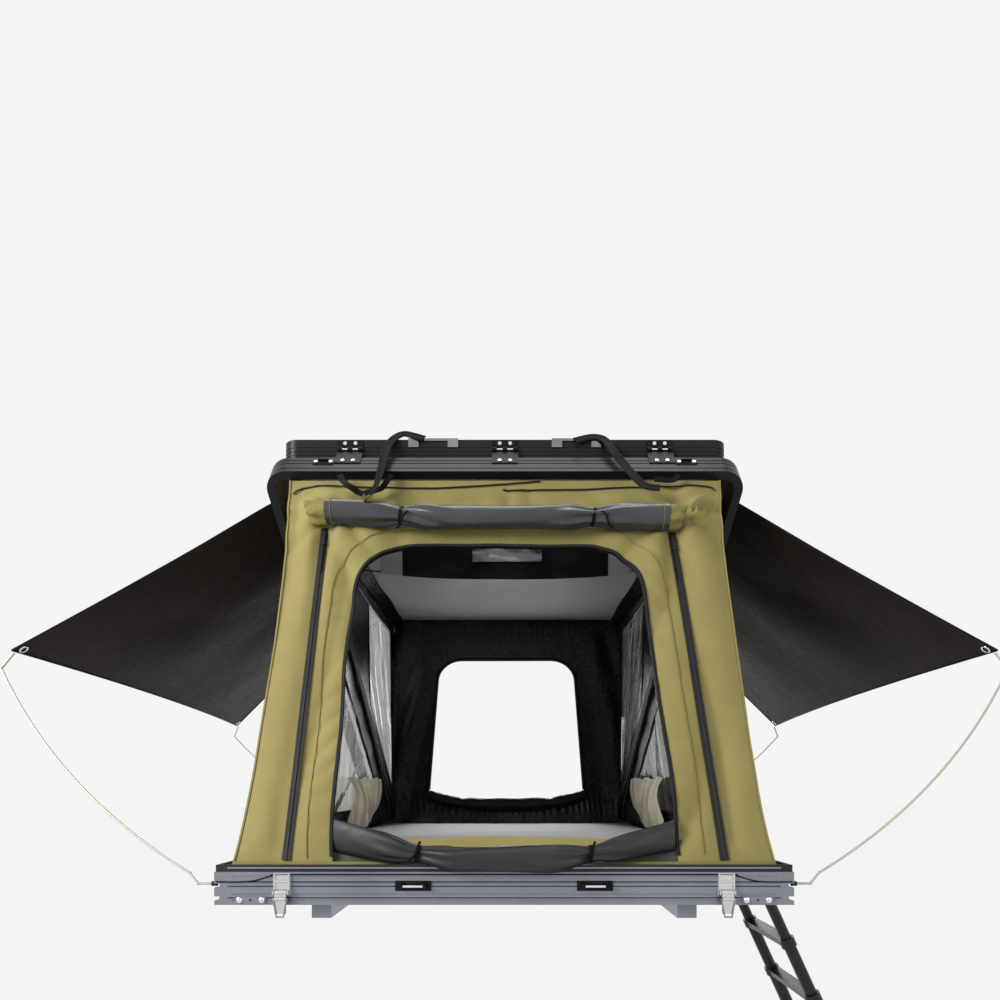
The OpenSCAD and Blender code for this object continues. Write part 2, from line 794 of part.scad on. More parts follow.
// Flat steel handles along the lid's near edge
handle_t = 4;
module lid_handles() {
    handle_x = strike_x - 1;
    bar_half = 82;
    bar_h = 8;
    tab_w = 34;
    color("#c4c5c6") raised_lid() for (m = [0, 1]) mirror([m, 0, 0]) {
        box([handle_x - bar_half, lid_y_near - handle_t, z_lid_top - 5],
            [handle_x + bar_half, lid_y_near, z_lid_top - 5 + bar_h]);
        for (x = [handle_x - bar_half, handle_x + bar_half - tab_w])
            box([x, lid_y_near - handle_t, z_lid_top - 26], [x + tab_w, lid_y_near, z_lid_top - 5]);
    }
}

// Webbing strap as a flat band along points [x, z]
function band_side(path, offset) =
    [for (i = [0:len(path) - 1])
        let (a = path[max(i - 1, 0)], b = path[min(i + 1, len(path) - 1)],
             d = (b - a) / norm(b - a))
        path[i] + offset * [-d.y, d.x]];

module band(path, width) {
    left = band_side(path, width / 2);
    right = band_side(path, -width / 2);
    polygon(concat(left, [for (i = [len(right) - 1:-1:0]) right[i]]));
}

// Pull-down straps that hang from the handles in front of the lid and the middle frame
strap_w = 26;
strap_t = 2;
strap_tilt = 31;
strap_top = z_lid_top - 2;
strap_out = handle_t + touch_gap + 3.1;
strap_left = [[-232, -6], [-252, 12], [-300, 20], [-350, 10], [-372, -20], [-384, -80], [-398, -150],
    [-420, -205], [-444, -245]];
strap_right = [[216, -6], [236, 12], [276, 20], [322, 8], [352, -32], [384, -90], [420, -150],
    [456, -172], [500, -160]];

module pull_straps() {
    color("#141517") raised_lid()
        translate([0, lid_y_near - strap_out, strap_top]) rotate([90 - strap_tilt, 0, 0])
            for (path = [strap_left, strap_right]) linear_extrude(strap_t) band(path, strap_w);
}

// Fabric

// Opening with rounded upper corners, and lower ones where a radius is given, in wall coordinates
function arc_points(c, r, a0, a1, n) = [for (i = [0:n]) c + r * [cos(a0 + (a1 - a0) * i / n),
    sin(a0 + (a1 - a0) * i / n)]];

module wall_opening(foot_w, head_w, low, high, top_r, foot_r) {
    n = 8;
    xf = foot_w / 2;
    xh = head_w / 2;
    upper = concat(arc_points([xh - top_r, high - top_r], top_r, 0, 90, n),
        arc_points([top_r - xh, high - top_r], top_r, 90, 180, n));
    lower = concat(arc_points([foot_r - xf, low + foot_r], foot_r, 180, 270, n),
        arc_points([xf - foot_r, low + foot_r], foot_r, 270, 360, n));
    polygon(concat(upper, lower));
}

// Stands a flat sheet, drawn as X and distance up the wall, on its foot line
module leaning(foot, lean) {
    translate([0, foot.x, foot.y]) rotate([90 - lean, 0, 0]) children();
}

// Near wall with the doorway
module near_wall() {
    top_r = 170;
    hem = 14;
    color("#9c9253") leaning(near_foot, near_lean) linear_extrude(wall_t) difference() {
        polygon([[-wall_foot_w / 2, 0], [wall_foot_w / 2, 0],
            [wall_head_w / 2, near_len], [-wall_head_w / 2, near_len]]);
        wall_opening(door_foot_w, door_head_w, hem, door_h / cos(near_lean), top_r, 20);
    }
}

// Far wall with its window
module far_wall() {
    top_r = 150;
    color("#2a2a2a") leaning(far_foot, far_lean) linear_extrude(wall_t) difference() {
        polygon([[-side_x + 3, 0], [side_x - 3, 0], [side_x - 5, far_len], [5 - side_x, far_len]]);
        wall_opening(door_foot_w, door_head_w, sill_h / cos(far_lean), door_h / cos(far_lean),
            top_r, 120);
    }
}

// Line that parts the lower side walls from the upper ones, beside the arms
part_far = [far_y(z_top + 40) - side_gap, z_top + 40];
part_near = [near_y(near_head.y - 30) + side_gap, near_head.y - 30];
part_gap = 3;

module side_sheet(outline) {
    for (m = [0, 1]) mirror([m, 0, 0])
        translate([side_x - side_t, 0, 0]) rotate([90, 0, 90]) linear_extrude(side_t) polygon(outline);
}

module side_walls_lower() {
    color("#9c9253") side_sheet([[near_y(z_top) + side_gap, z_top], [far_y(z_top) - side_gap, z_top],
        part_far - [0, part_gap], part_near - [0, part_gap]]);
}

module side_walls_upper() {
    head_z = z_lid_open - touch_gap;
    color("#9c9253") side_sheet([part_near, part_far, [far_y(head_z) - side_gap, head_z],
        [near_head.x + 50, head_z]]);
}

// Rolled door flap across the top of the near wall, drawn in by two ties
door_roll_z = 1180;
door_roll_half = 545;
tie_x = 297;
function tie_pinch(x, w) = exp(-pow((abs(x) - tie_x) / w, 2));

module door_roll() {
    fullest = 0.98 * door_roll_r;
    y = near_y(door_roll_z) - (wall_t + touch_gap + fullest) / cos(near_lean);
    centre = function (t) [door_roll_half * (2 * t - 1), y, door_roll_z];
    radius = function (t)
        let (x = door_roll_half * (2 * t - 1))
        door_roll_r * (0.94 - 0.3 * tie_pinch(x, 50) + 0.05 * cos(x * 1.7));
    color("#33353a") roll_solid(36, 14, centre, radius);
}

// Rolled mesh flap that sags along the sill of the doorway
module mesh_roll() {
    half = 440;
    fullest = 0.95 * mesh_roll_r;
    low_z = z_seal + touch_gap + fullest;
    rise = 62;
    y = near_y(low_z) - (wall_t + touch_gap + fullest) / cos(near_lean) - 3;
    centre = function (t)
        let (x = half * (2 * t - 1), lift = pow(abs(2 * t - 1), 4))
        [x, y + rise * lift * tan(near_lean), low_z + rise * lift];
    radius = function (t)
        let (x = half * (2 * t - 1), end = pow(abs(2 * t - 1), 3))
        mesh_roll_r * (0.95 - 0.5 * end - 0.22 * tie_pinch(x * 1.3, 45));
    color("#1b1b1d") roll_solid(32, 12, centre, radius);
}

// Hanging organiser under the ceiling, inside the doorway
module organiser() {
    half_w = 470;
    drop = 255;
    bellows = 5;
    y = -290;
    top = z_lid_open - ceiling_t - touch_gap;
    front = function (u, v) [half_w * (2 * u - 1), y - 2 - bellows * abs(sin(540 * u)) * v,
        top - drop * v];
    back = function (u, v) [half_w * (2 * u - 1), y + 2, top - drop * v];
    color("#161617") grid_solid(18, 4, back, front);
}

// Awnings: stretched from under the lid's side rims to the rod tips, sagging between them
awning_t = 2;
awning_inner_x = lid_x - lid_rim_t + 14;
awning_near = [-420, -800];
awning_far = [800, 850];
awning_tip_rise = [630, 552];
awning_z = [z_lid_open - touch_gap, z_top + awning_tip_rise.x, z_top + awning_tip_rise.y];
awning_sag = 38;
awning_hollow = 46;
awning_fold = 7;

function mix(a, b, t) = a + (b - a) * t;

function awning_point(u, v) =
    let (y = mix(mix(awning_near.x, awning_far.x, v), mix(awning_near.y, awning_far.y, v), u),
         z = mix(awning_z.x, mix(awning_z.y, awning_z.z, v), u),
         hollow = awning_hollow * 4 * v * (1 - v) * u,
         sag = awning_sag * sin(180 * u) * sin(180 * v),
         fold = awning_fold * sin(900 * v) * sin(180 * v) * u * (1 - u) * 4)
    [mix(awning_inner_x, awning_reach, u) - hollow, y, z - sag + fold];

module awnings() {
    lower = function (u, v) awning_point(u, v) - [0, 0, awning_t];
    upper = function (u, v) awning_point(u, v);
    color("#2a211e") both_sides() grid_solid(10, 20, upper, lower);
}

// Spring rods that hold the awnings out. Each leaves its socket level and bends up to an awning tip
rod_r = 3.2;
socket_y = 1030;
socket_z = channel_h + 53;
socket_l = 14;
socket_r = 6.5;
rod_pin_l = 13.5;
rod_level_l = 37;
rod_step = [27, 29];
rod_hook = [-25, 52];
rod_bow = 28;
rod_knee_gain = 1.0;
tip_drop = 9;

module rod_sockets() {
    color("#17181a") for (sx = [-1, 1], sy = [-1, 1])
        translate([0, sy * socket_y, socket_z]) mirror([sx < 0 ? 1 : 0, 0, 0]) difference() {
            rod_x(tray_x, tray_x + socket_l, [0, 0], socket_r);
            rod_x(tray_x - 1, tray_x + socket_l + 1, [0, 0], rod_r + run_gap);
        }
}

// Straight length of rod between two points [x, height]
module rod_run(p, q) {
    d = q - p;
    translate([p.x, 0, p.y]) rotate([0, 90 - atan2(d.y, d.x), 0]) cylinder(h = norm(d), r = rod_r, $fn = 24);
}

// Rounded corner between two lengths of rod
module rod_knee(p) {
    translate([p.x, 0, p.y]) sphere(r = rod_r + rod_knee_gain, $fn = 24);
}

// Rod on the right side, from a socket at y0 to an awning tip at [y, z]: a level pin, a short step up, a
// long bow and a hook back to the tip
module awning_rod(y0, tip) {
    start_x = tray_x + socket_l;
    up = tip - [y0, socket_z + tip_drop];
    turn = -atan2(up.x, up.y);
    foot = [start_x + rod_level_l, 0];
    step = foot + rod_step;
    hook = [awning_reach - 6, norm(up)];
    crook = hook - rod_hook;
    chord = crook - step;
    bow_r = norm(chord) / (2 * sin(rod_bow / 2));
    bow_start = atan2(chord.y, chord.x) - rod_bow / 2;
    centre = step + bow_r * [-sin(bow_start), cos(bow_start)];
    translate([0, y0, socket_z]) rotate([turn, 0, 0]) {
        rod_run([start_x - rod_pin_l, 0], foot);
        rod_knee(foot);
        rod_run(foot, step);
        rod_knee(step);
        translate([centre.x, 0, centre.y]) rotate([90, 0, 0]) rotate([0, 0, bow_start - 90])
            rotate_extrude(angle = rod_bow, $fn = 96) translate([bow_r, 0]) circle(r = rod_r, $fn = 24);
        rod_knee(crook);
        rod_run(crook, hook);
    }
}

near_tip = [awning_near.y, awning_z.y];
far_tip = [awning_far.y, awning_z.z];

module awning_rod_near_left() {
    color("#c9c2a6") mirror([1, 0, 0]) awning_rod(-socket_y, near_tip);
}

module awning_rod_near_right() {
    color("#c9c2a6") awning_rod(-socket_y, near_tip);
}

module awning_rod_far_left() {
    color("#c9c2a6") mirror([1, 0, 0]) awning_rod(socket_y, far_tip);
}

module awning_rod_far_right() {
    color("#c9c2a6") awning_rod(socket_y, far_tip);
}

// Telescopic ladder on the right side rail

ladder_y = -605;
ladder_pin_r = 5;
ladder_pin = [tray_x + 22, channel_h + 16];
ladder_ear_t = 4;
ladder_eye_r = 15;
ladder_eye_w = 2 * ladder_tube_r + 1;
tube_gap = 0.4;
tube_step = ladder_wall + tube_gap;
ladder_count = 10;
insert_l = 30;
collar_h = 28;
collar_wall = 5;
rung_d = 34;
rung_h = 22;

// Plate on the side rail with two pairs of ears and their pins
module ladder_bracket() {
    plate_half = ladder_w / 2 + 50;
    plate_h = 56;
    color("#17181a") translate([0, ladder_y, 0]) {
        box([tray_x, -plate_half, channel_h + 4], [tray_x + leaf_t, plate_half, channel_h + 4 + plate_h]);
        for (sy = [-1, 1]) translate([0, sy * ladder_w / 2, 0]) {
            for (s = [-1, 1])
                translate([0, s * (ladder_eye_w / 2 + touch_gap + ladder_ear_t / 2), 0])
                    box([tray_x, -ladder_ear_t / 2, ladder_pin.y - 10],
                        [ladder_pin.x + 10, ladder_ear_t / 2, ladder_pin.y + 10]);
            translate([ladder_pin.x, ladder_eye_w / 2 + ladder_ear_t, ladder_pin.y]) rotate([90, 0, 0])
                cylinder(h = ladder_eye_w + 2 * ladder_ear_t, r = ladder_pin_r);
        }
    }
}

// Places its children in the ladder's own frame: the pin at the origin, the ladder down along -Z
module on_ladder() {
    translate([ladder_pin.x, ladder_y, ladder_pin.y]) rotate([0, -ladder_lean, 0]) children();
}

// Tube of a section, from its collar down into the next one
module ladder_tube(i) {
    top = i == 0 ? 0 : -i * rung_pitch;
    low = i == ladder_count - 1 ? -(i + 1) * rung_pitch : -(i + 1) * rung_pitch - insert_l;
    r = ladder_tube_r + i * tube_step;
    translate([0, 0, low]) difference() {
        cylinder(h = top - low, r = r);
        translate([0, 0, -1]) cylinder(h = top - low + 2, r = r - ladder_wall);
    }
}

// Collar at the top of a section
module ladder_collar(i) {
    r = ladder_tube_r + i * tube_step;
    translate([0, 0, -i * rung_pitch - collar_h]) difference() {
        cylinder(h = collar_h, r = r + collar_wall);
        translate([0, 0, -1]) cylinder(h = collar_h + 2, r = r - ladder_wall);
    }
}

// Rung between the collars of a section
module ladder_rung(i) {
    r = ladder_tube_r + i * tube_step + collar_wall - 1;
    z = -i * rung_pitch - collar_h / 2;
    half = ladder_w / 2 - r;
    box([-rung_d / 2, -half, z - rung_h / 2], [rung_d / 2, half, z + rung_h / 2]);
}

// Eye that turns on the bracket's pin, and the neck that joins it to the first tube
module ladder_eye() {
    rotate([90, 0, 0]) translate([0, 0, -ladder_eye_w / 2]) cylinder(h = ladder_eye_w, r = ladder_eye_r);
    translate([0, 0, -30]) cylinder(h = 30, r = ladder_tube_r);
}

module ladder_section(i) {
    foot_h = 34;
    foot_r = ladder_tube_r + i * tube_step + 4;
    color("#1b1c1e") on_ladder() {
        for (sy = [-1, 1]) translate([0, sy * ladder_w / 2, 0]) {
            if (i == 0)
                difference() {
                    union() {
                        ladder_eye();
                        ladder_tube(0);
                    }
                    rotate([90, 0, 0]) translate([0, 0, -ladder_eye_w])
                        cylinder(h = 2 * ladder_eye_w, r = ladder_pin_r + run_gap);
                }
            else
                union() {
                    ladder_tube(i);
                    ladder_collar(i);
                }
            if (i == ladder_count - 1)
                translate([0, 0, -(i + 1) * rung_pitch - foot_h]) cylinder(h = foot_h, r = foot_r);
        }
        if (i > 0) ladder_rung(i);
    }
}

module ladder_section_1() { ladder_section(0); }
module ladder_section_2() { ladder_section(1); }
module ladder_section_3() { ladder_section(2); }
module ladder_section_4() { ladder_section(3); }
module ladder_section_5() { ladder_section(4); }
module ladder_section_6() { ladder_section(5); }
module ladder_section_7() { ladder_section(6); }
module ladder_section_8() { ladder_section(7); }
module ladder_section_9() { ladder_section(8); }
module ladder_section_10() { ladder_section(9); }

mounting_channels();
base_front_rail();
base_rear_rail();
base_side_rails();
base_floor();
base_seal();
mattress();
latch_plates();
strike_brackets();
strike_bars();
corner_plates();
rear_hinge_base_leaves();
rod_sockets();
ladder_bracket();
near_wall();
far_wall();
side_walls_lower();
door_roll();
mesh_roll();
frame_near_rail();
frame_arms();
frame_far_rail();
near_hinge_frame_leaves();
near_hinge_pins();
rear_hinge_frame_leaves();
keeper_plates();
frame_screws();
lid_near_rim();
lid_side_rims();
lid_far_rim();
lid_panel();
lid_crossbars();
ceiling_panel();
near_hinge_lid_leaves();
lid_screws();
lid_handles();
pull_straps();
organiser();
side_walls_upper();
awnings();
awning_rod_near_left();
awning_rod_near_right();
awning_rod_far_left();
awning_rod_far_right();
latch_lever_left();
latch_lever_right();
latch_bail_left();
latch_bail_right();
strut_cylinders();
strut_rods();
ladder_section_1();
ladder_section_2();
ladder_section_3();
ladder_section_4();
ladder_section_5();
ladder_section_6();
ladder_section_7();
ladder_section_8();
ladder_section_9();
ladder_section_10();
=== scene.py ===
from math import atan2, cos, exp, hypot, pi, radians, sin, tan

import bmesh
import bpy
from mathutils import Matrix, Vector, noise


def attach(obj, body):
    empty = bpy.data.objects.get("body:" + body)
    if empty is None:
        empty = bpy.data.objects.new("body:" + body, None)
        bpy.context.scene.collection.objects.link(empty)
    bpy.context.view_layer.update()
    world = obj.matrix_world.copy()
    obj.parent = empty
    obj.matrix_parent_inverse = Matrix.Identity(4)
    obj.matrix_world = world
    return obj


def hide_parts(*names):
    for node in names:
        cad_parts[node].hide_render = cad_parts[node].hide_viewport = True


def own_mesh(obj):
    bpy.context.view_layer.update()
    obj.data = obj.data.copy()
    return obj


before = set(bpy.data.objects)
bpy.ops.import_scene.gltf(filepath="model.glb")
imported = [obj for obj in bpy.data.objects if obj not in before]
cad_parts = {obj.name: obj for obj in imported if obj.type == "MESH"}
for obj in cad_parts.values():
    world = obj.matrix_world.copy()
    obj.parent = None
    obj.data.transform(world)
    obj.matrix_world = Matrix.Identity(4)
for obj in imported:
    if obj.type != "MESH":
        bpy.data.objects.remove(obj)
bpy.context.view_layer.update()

# Camera: a level 24 mm view from in front of the near end
IMAGE = 1000
LENS, SENSOR = 24.0, 36.0
FOCAL_PX = LENS / SENSOR * IMAGE
EYE = Vector((0.010, -2.790, 0.353))
VANISH = (508.0, 785.0)

camera_data = bpy.data.cameras.new("camera")
camera_data.lens = LENS
camera_data.sensor_width = SENSOR
camera_data.shift_x = (IMAGE / 2 - VANISH[0]) / IMAGE
camera_data.shift_y = (VANISH[1] - IMAGE / 2) / IMAGE
camera_data.clip_end = 200
camera = bpy.data.objects.new("camera", camera_data)
camera.location = EYE
camera.rotation_euler = (pi / 2, 0, 0)
bpy.context.collection.objects.link(camera)
bpy.context.scene.camera = camera


def sight(px, py):
    """Direction of the line of sight through a pixel, one metre deep."""
    return Vector(((px - VANISH[0]) / FOCAL_PX, 1.0, (VANISH[1] - py) / FOCAL_PX))


# Sizes shared with the part's source, in metres
TRAY_TOP = 0.126
NEAR_FOOT, NEAR_HEAD = (-1.022, TRAY_TOP), (-0.638186, 1.33287)
FAR_FOOT, FAR_HEAD = (1.016, TRAY_TOP), (1.45022, 1.41511)
LID_LOW = 1.41661
CEILING_LOW = LID_LOW - 0.020
SIDE_X = 0.7125
WALL_T = 0.003
FOOT_HALF, HEAD_HALF = 0.724, 0.694
DOOR_FOOT_HALF, DOOR_HEAD_HALF = 0.4525, 0.425
DOOR_H, SILL_H, HEM = 0.970, 0.140, 0.014

# Both sides, as signs of x and names, and the upright axis
SIDES = ((-1, "left"), (1, "right"))
UP = (0, 0, 1)


class Leaning:
    """A leaning end wall: points are given as x, distance up the wall and distance out of it."""

    def __init__(self, foot, head, outward):
        dy, dz = head[0] - foot[0], head[1] - foot[1]
        self.length = hypot(dy, dz)
        self.foot = foot
        self.up = Vector((0, dy / self.length, dz / self.length))
        self.out = Vector((0, -self.up.z, self.up.y)) * outward
        self.anchor = (0, foot[0], foot[1])

    def point(self, x, s, d=0.0):
        return Vector((x, self.foot[0], self.foot[1])) + self.up * s + self.out * d

    def from_pixel(self, px, py, d=0.0):
        ray = sight(px, py)
        start = self.point(0, 0, d)
        depth = (start - EYE).dot(self.out) / ray.dot(self.out)
        hit = EYE + ray * depth
        return hit.x, (hit - start).dot(self.up)


NEAR = Leaning(NEAR_FOOT, NEAR_HEAD, 1)
FAR = Leaning(FAR_FOOT, FAR_HEAD, -1)


# Materials
def new_material(name):
    material = bpy.data.materials.new(name)
    material.use_nodes = True
    tree = material.node_tree
    return material, tree, tree.nodes["Principled BSDF"]


def set_inputs(node, **values):
    """Sets a node's inputs, with the spaces in their names written as underscores."""
    for key, value in values.items():
        node.inputs[key.replace("_", " ")].default_value = value


def add_node(tree, kind, **values):
    node = tree.nodes.new(kind)
    for key, value in values.items():
        if key in node.inputs:
            node.inputs[key].default_value = value
        else:
            setattr(node, key, value)
    return node


def combine(tree, operation, first, second):
    """Output of a math node on two outputs."""
    node = add_node(tree, "ShaderNodeMath", operation=operation)
    tree.links.new(first, node.inputs[0])
    tree.links.new(second, node.inputs[1])
    return node.outputs[0]


def noise_node(tree, scale, detail=4.0, roughness=0.6, stretch=None):
    source = add_node(tree, "ShaderNodeTexCoord").outputs["Object"]
    if stretch:
        mapping = add_node(tree, "ShaderNodeMapping", Scale=stretch)
        tree.links.new(source, mapping.inputs["Vector"])
        source = mapping.outputs["Vector"]
    node = add_node(tree, "ShaderNodeTexNoise", Scale=scale, Detail=detail, Roughness=roughness)
    tree.links.new(source, node.inputs["Vector"])
    return node.outputs["Fac"]


def ramp(tree, source, low, high, start=0.3, end=0.7):
    node = add_node(tree, "ShaderNodeValToRGB")
    for element, place, colour in zip(node.color_ramp.elements, (start, end), (low, high)):
        element.position = place
        element.color = (*colour, 1)
    tree.links.new(source, node.inputs["Fac"])
    return node.outputs["Color"]


def bump(tree, shader, source, strength, distance, before=None):
    node = add_node(tree, "ShaderNodeBump", Strength=strength, Distance=distance)
    tree.links.new(source, node.inputs["Height"])
    if before:
        tree.links.new(before, node.inputs["Normal"])
    tree.links.new(node.outputs["Normal"], shader.inputs["Normal"])
    return node.outputs["Normal"]


def roughness_noise(tree, shader, source, low, high):
    node = add_node(tree, "ShaderNodeMapRange")
    set_inputs(node, From_Min=0.3, From_Max=0.7, To_Min=low, To_Max=high)
    tree.links.new(source, node.inputs["Value"])
    tree.links.new(node.outputs["Result"], shader.inputs["Roughness"])


def weave_height(tree, pitch):
    """Crossing threads at a real pitch."""
    place = add_node(tree, "ShaderNodeTexCoord")
    threads = []
    for direction in ("X", "Z"):
        wave = add_node(tree, "ShaderNodeTexWave", wave_type="BANDS", bands_direction=direction,
                        Scale=pi / 10 / pitch, Distortion=0.6, Detail=1.0)
        tree.links.new(place.outputs["Object"], wave.inputs["Vector"])
        threads.append(wave.outputs["Fac"])
    return combine(tree, "ADD", *threads)


def cloth_material(name, low, high, rough=(0.75, 0.92), sheen=0.0, pitch=0.0011, crease=0.25,
                   crease_scale=9.0, spread=(1, 1, 0.35), specular=0.3, weave=0.25):
    material, tree, shader = new_material(name)
    patch = noise_node(tree, 3.0, 6.0, 0.65)
    tree.links.new(ramp(tree, patch, low, high), shader.inputs["Base Color"])
    roughness_noise(tree, shader, noise_node(tree, 40.0), *rough)
    creased = bump(tree, shader, noise_node(tree, crease_scale, 5.0, 0.55, spread), crease, 0.012)
    bump(tree, shader, weave_height(tree, pitch), weave, 0.0004, creased)
    set_inputs(shader, Sheen_Weight=sheen, Sheen_Roughness=0.5, Specular_IOR_Level=specular)
    return material


def metal_material(name, low, high, metallic, rough, grain=None, grain_scale=260.0, grain_bump=0.06,
                   specular=0.5):
    material, tree, shader = new_material(name)
    fine = noise_node(tree, grain_scale, 3.0, 0.6, grain)
    broad = noise_node(tree, 5.0, 5.0, 0.6)
    tree.links.new(ramp(tree, broad, low, high), shader.inputs["Base Color"])
    roughness_noise(tree, shader, fine, *rough)
    bump(tree, shader, fine, grain_bump, 0.0006)
    set_inputs(shader, Metallic=metallic, Specular_IOR_Level=specular)
    return material


def clear_film(name, low, high, alpha, streak=(1, 3.0, 0.30)):
    """Wrinkled clear film with painted highlights: its base colour has bright streaks along a stretched
    noise.
    """
    material, tree, shader = new_material(name)
    # Painted highlights: the base colour runs from dark film to bright streaks
    bright = noise_node(tree, 6.0, 4.0, 0.6, streak)
    tree.links.new(ramp(tree, bright, low, high, 0.48, 0.60), shader.inputs["Base Color"])
    roughness_noise(tree, shader, noise_node(tree, 12.0), 0.05, 0.16)
    folds = bump(tree, shader, noise_node(tree, 7.0, 4.0, 0.6, (1, 1.4, 0.7)), 0.9, 0.03)
    bump(tree, shader, noise_node(tree, 34.0, 3.0, 0.5), 0.3, 0.006, folds)
    set_inputs(shader, Alpha=alpha, Specular_IOR_Level=0.9, Coat_Weight=0.8, Coat_Roughness=0.06)
    return material


OLIVE = cloth_material("olive_canvas", (0.275, 0.233, 0.078), (0.345, 0.293, 0.104), pitch=0.0009,
                       rough=(0.62, 0.80), sheen=0.05, specular=0.22)
OLIVE_EDGE = cloth_material("olive_hem", (0.225, 0.196, 0.060), (0.285, 0.250, 0.082), crease=0.1,
                            sheen=0.05, specular=0.2)
LINING = cloth_material("black_lining", (0.0120, 0.0122, 0.0140), (0.0240, 0.0245, 0.0275),
                        rough=(0.24, 0.36), crease=0.8, crease_scale=8.0, specular=0.65, weave=0.08)
GLOSS_LINING = cloth_material("glossy_lining", (0.010, 0.0105, 0.012), (0.016, 0.0165, 0.019),
                              rough=(0.12, 0.24), crease=0.5, crease_scale=6.0, specular=0.8)
DARK_CLOTH = cloth_material("black_cloth", (0.0050, 0.0052, 0.0060), (0.0100, 0.0103, 0.0120),
                            rough=(0.42, 0.60), crease=0.5, specular=0.32)
CHARCOAL = cloth_material("charcoal_satin", (0.0065, 0.0072, 0.0090), (0.0125, 0.0136, 0.0165),
                          rough=(0.42, 0.55), crease=0.35, spread=(0.45, 1, 1), specular=0.45, weave=0.08)
SATIN = cloth_material("roll_satin", (0.026, 0.0275, 0.032), (0.042, 0.045, 0.051), rough=(0.24, 0.34),
                       crease=0.30, spread=(0.45, 1, 1), specular=0.6, weave=0.06)
AWNING = cloth_material("coated_brown", (0.0100, 0.0072, 0.0069), (0.0180, 0.0132, 0.0125),
                        rough=(0.32, 0.44), crease=0.55, crease_scale=4.0, specular=0.06)
AWNING_TOP = cloth_material("awning_top_olive", (0.275, 0.240, 0.076), (0.345, 0.302, 0.102), sheen=0.05,
                            specular=0.22)
PALE_COVER = cloth_material("mattress_cover", (0.36, 0.365, 0.38), (0.44, 0.445, 0.46), crease=0.3,
                            crease_scale=6.0, spread=(1, 1, 1), pitch=0.0016, sheen=0.15)
CEILING = cloth_material("ceiling_cloth", (0.66, 0.64, 0.655), (0.76, 0.74, 0.755), rough=(0.30, 0.40),
                         crease=0.04, crease_scale=3.0, spread=(1, 1, 1), specular=0.5)
KHAKI = cloth_material("khaki_flap", (0.76, 0.68, 0.48), (0.88, 0.80, 0.60), crease=0.6, sheen=0.05)
WEBBING = cloth_material("webbing", (0.0045, 0.0045, 0.0050), (0.0085, 0.0085, 0.0095), pitch=0.0022,
                         crease=0.1, rough=(0.45, 0.62), specular=0.05)
ZIP = cloth_material("zip_tape", (0.0050, 0.0050, 0.0058), (0.0090, 0.0090, 0.0100), pitch=0.0018,
                     crease=0.08, rough=(0.45, 0.6))
PIPING = cloth_material("grey_piping", (0.013, 0.013, 0.0135), (0.022, 0.022, 0.0225), crease=0.1)
MESH_CLOTH = cloth_material("fine_mesh", (0.075, 0.072, 0.058), (0.115, 0.110, 0.088), pitch=0.003,
                            crease=0.3, specular=0.25)
PALE_CORD = cloth_material("pale_cord", (0.55, 0.55, 0.54), (0.68, 0.68, 0.66), crease=0.1, sheen=0.15)
# Pale grey cord: its colour is a painted highlight along the edge of the side strips
PAINTED_HIGHLIGHT_CORD = cloth_material("painted_highlight_cord", (0.20, 0.195, 0.18), (0.28, 0.27, 0.25), crease=0.1, sheen=0.15)
SEAL = metal_material("seal_rubber", (0.012, 0.012, 0.013), (0.022, 0.022, 0.023), 0.0, (0.45, 0.65),
                      specular=0.3)
SLATE = metal_material("slate_powder_coat", (0.185, 0.202, 0.240), (0.240, 0.260, 0.305), 0.40,
                       (0.24, 0.34), grain=(0.03, 1, 1), grain_bump=0.010, specular=0.6)
SLATE_FRAME = metal_material("slate_frame_coat", (0.0070, 0.0077, 0.0092), (0.0105, 0.0115, 0.0135),
                             0.05, (0.26, 0.38), specular=0.18)
LID_COAT = metal_material("lid_coat", (0.0160, 0.0172, 0.0195), (0.0230, 0.0246, 0.0275), 0.05,
                          (0.22, 0.32), grain_bump=0.05, specular=0.11)
BLACK_PAINT = metal_material("black_paint", (0.0045, 0.0045, 0.0055), (0.0085, 0.0085, 0.0095), 0.0,
                             (0.30, 0.46), specular=0.12)
STEEL = metal_material("stainless", (0.56, 0.56, 0.57), (0.68, 0.68, 0.69), 1.0, (0.16, 0.32),
                       grain=(1, 1, 0.05), grain_scale=420.0)
DARK_STEEL = metal_material("brushed_steel", (0.20, 0.20, 0.205), (0.34, 0.34, 0.345), 1.0,
                            (0.20, 0.34), grain=(1, 1, 0.05), grain_scale=420.0)
BRIGHT = metal_material("bright_steel", (0.68, 0.68, 0.70), (0.78, 0.78, 0.80), 1.0, (0.08, 0.18))
ROD_STEEL = metal_material("spring_rod", (0.42, 0.40, 0.33), (0.50, 0.475, 0.395), 0.35, (0.34, 0.44),
                           grain_bump=0.0)
PLASTIC = metal_material("black_plastic", (0.0050, 0.0050, 0.0058), (0.0090, 0.0090, 0.0100), 0.0,
                         (0.40, 0.56), specular=0.35)
LADDER_TUBE = metal_material("black_anodised", (0.0095, 0.0100, 0.0115), (0.0160, 0.0168, 0.0190), 0.5,
                             (0.28, 0.42), grain=(1, 1, 0.05))
BOARD = metal_material("composite_board", (0.28, 0.28, 0.285), (0.34, 0.34, 0.345), 0.0, (0.5, 0.65))
# One clear film in lit and shaded copies: the left pane has brighter painted highlights and is more
# see-through than the right
FILM = {"left": clear_film("clear_film_left_painted_lit", (0.030, 0.030, 0.031), (0.92, 0.92, 0.90), 0.50),
        "right": clear_film("clear_film_right_painted_shaded", (0.025, 0.026, 0.029), (0.80, 0.80, 0.80), 0.88)}
# The pocket's film has the same painted highlight streaks
CLEAR_POCKET = clear_film("clear_pocket", (0.12, 0.105, 0.105), (0.85, 0.80, 0.80), 0.9, (0.8, 1, 3.0))


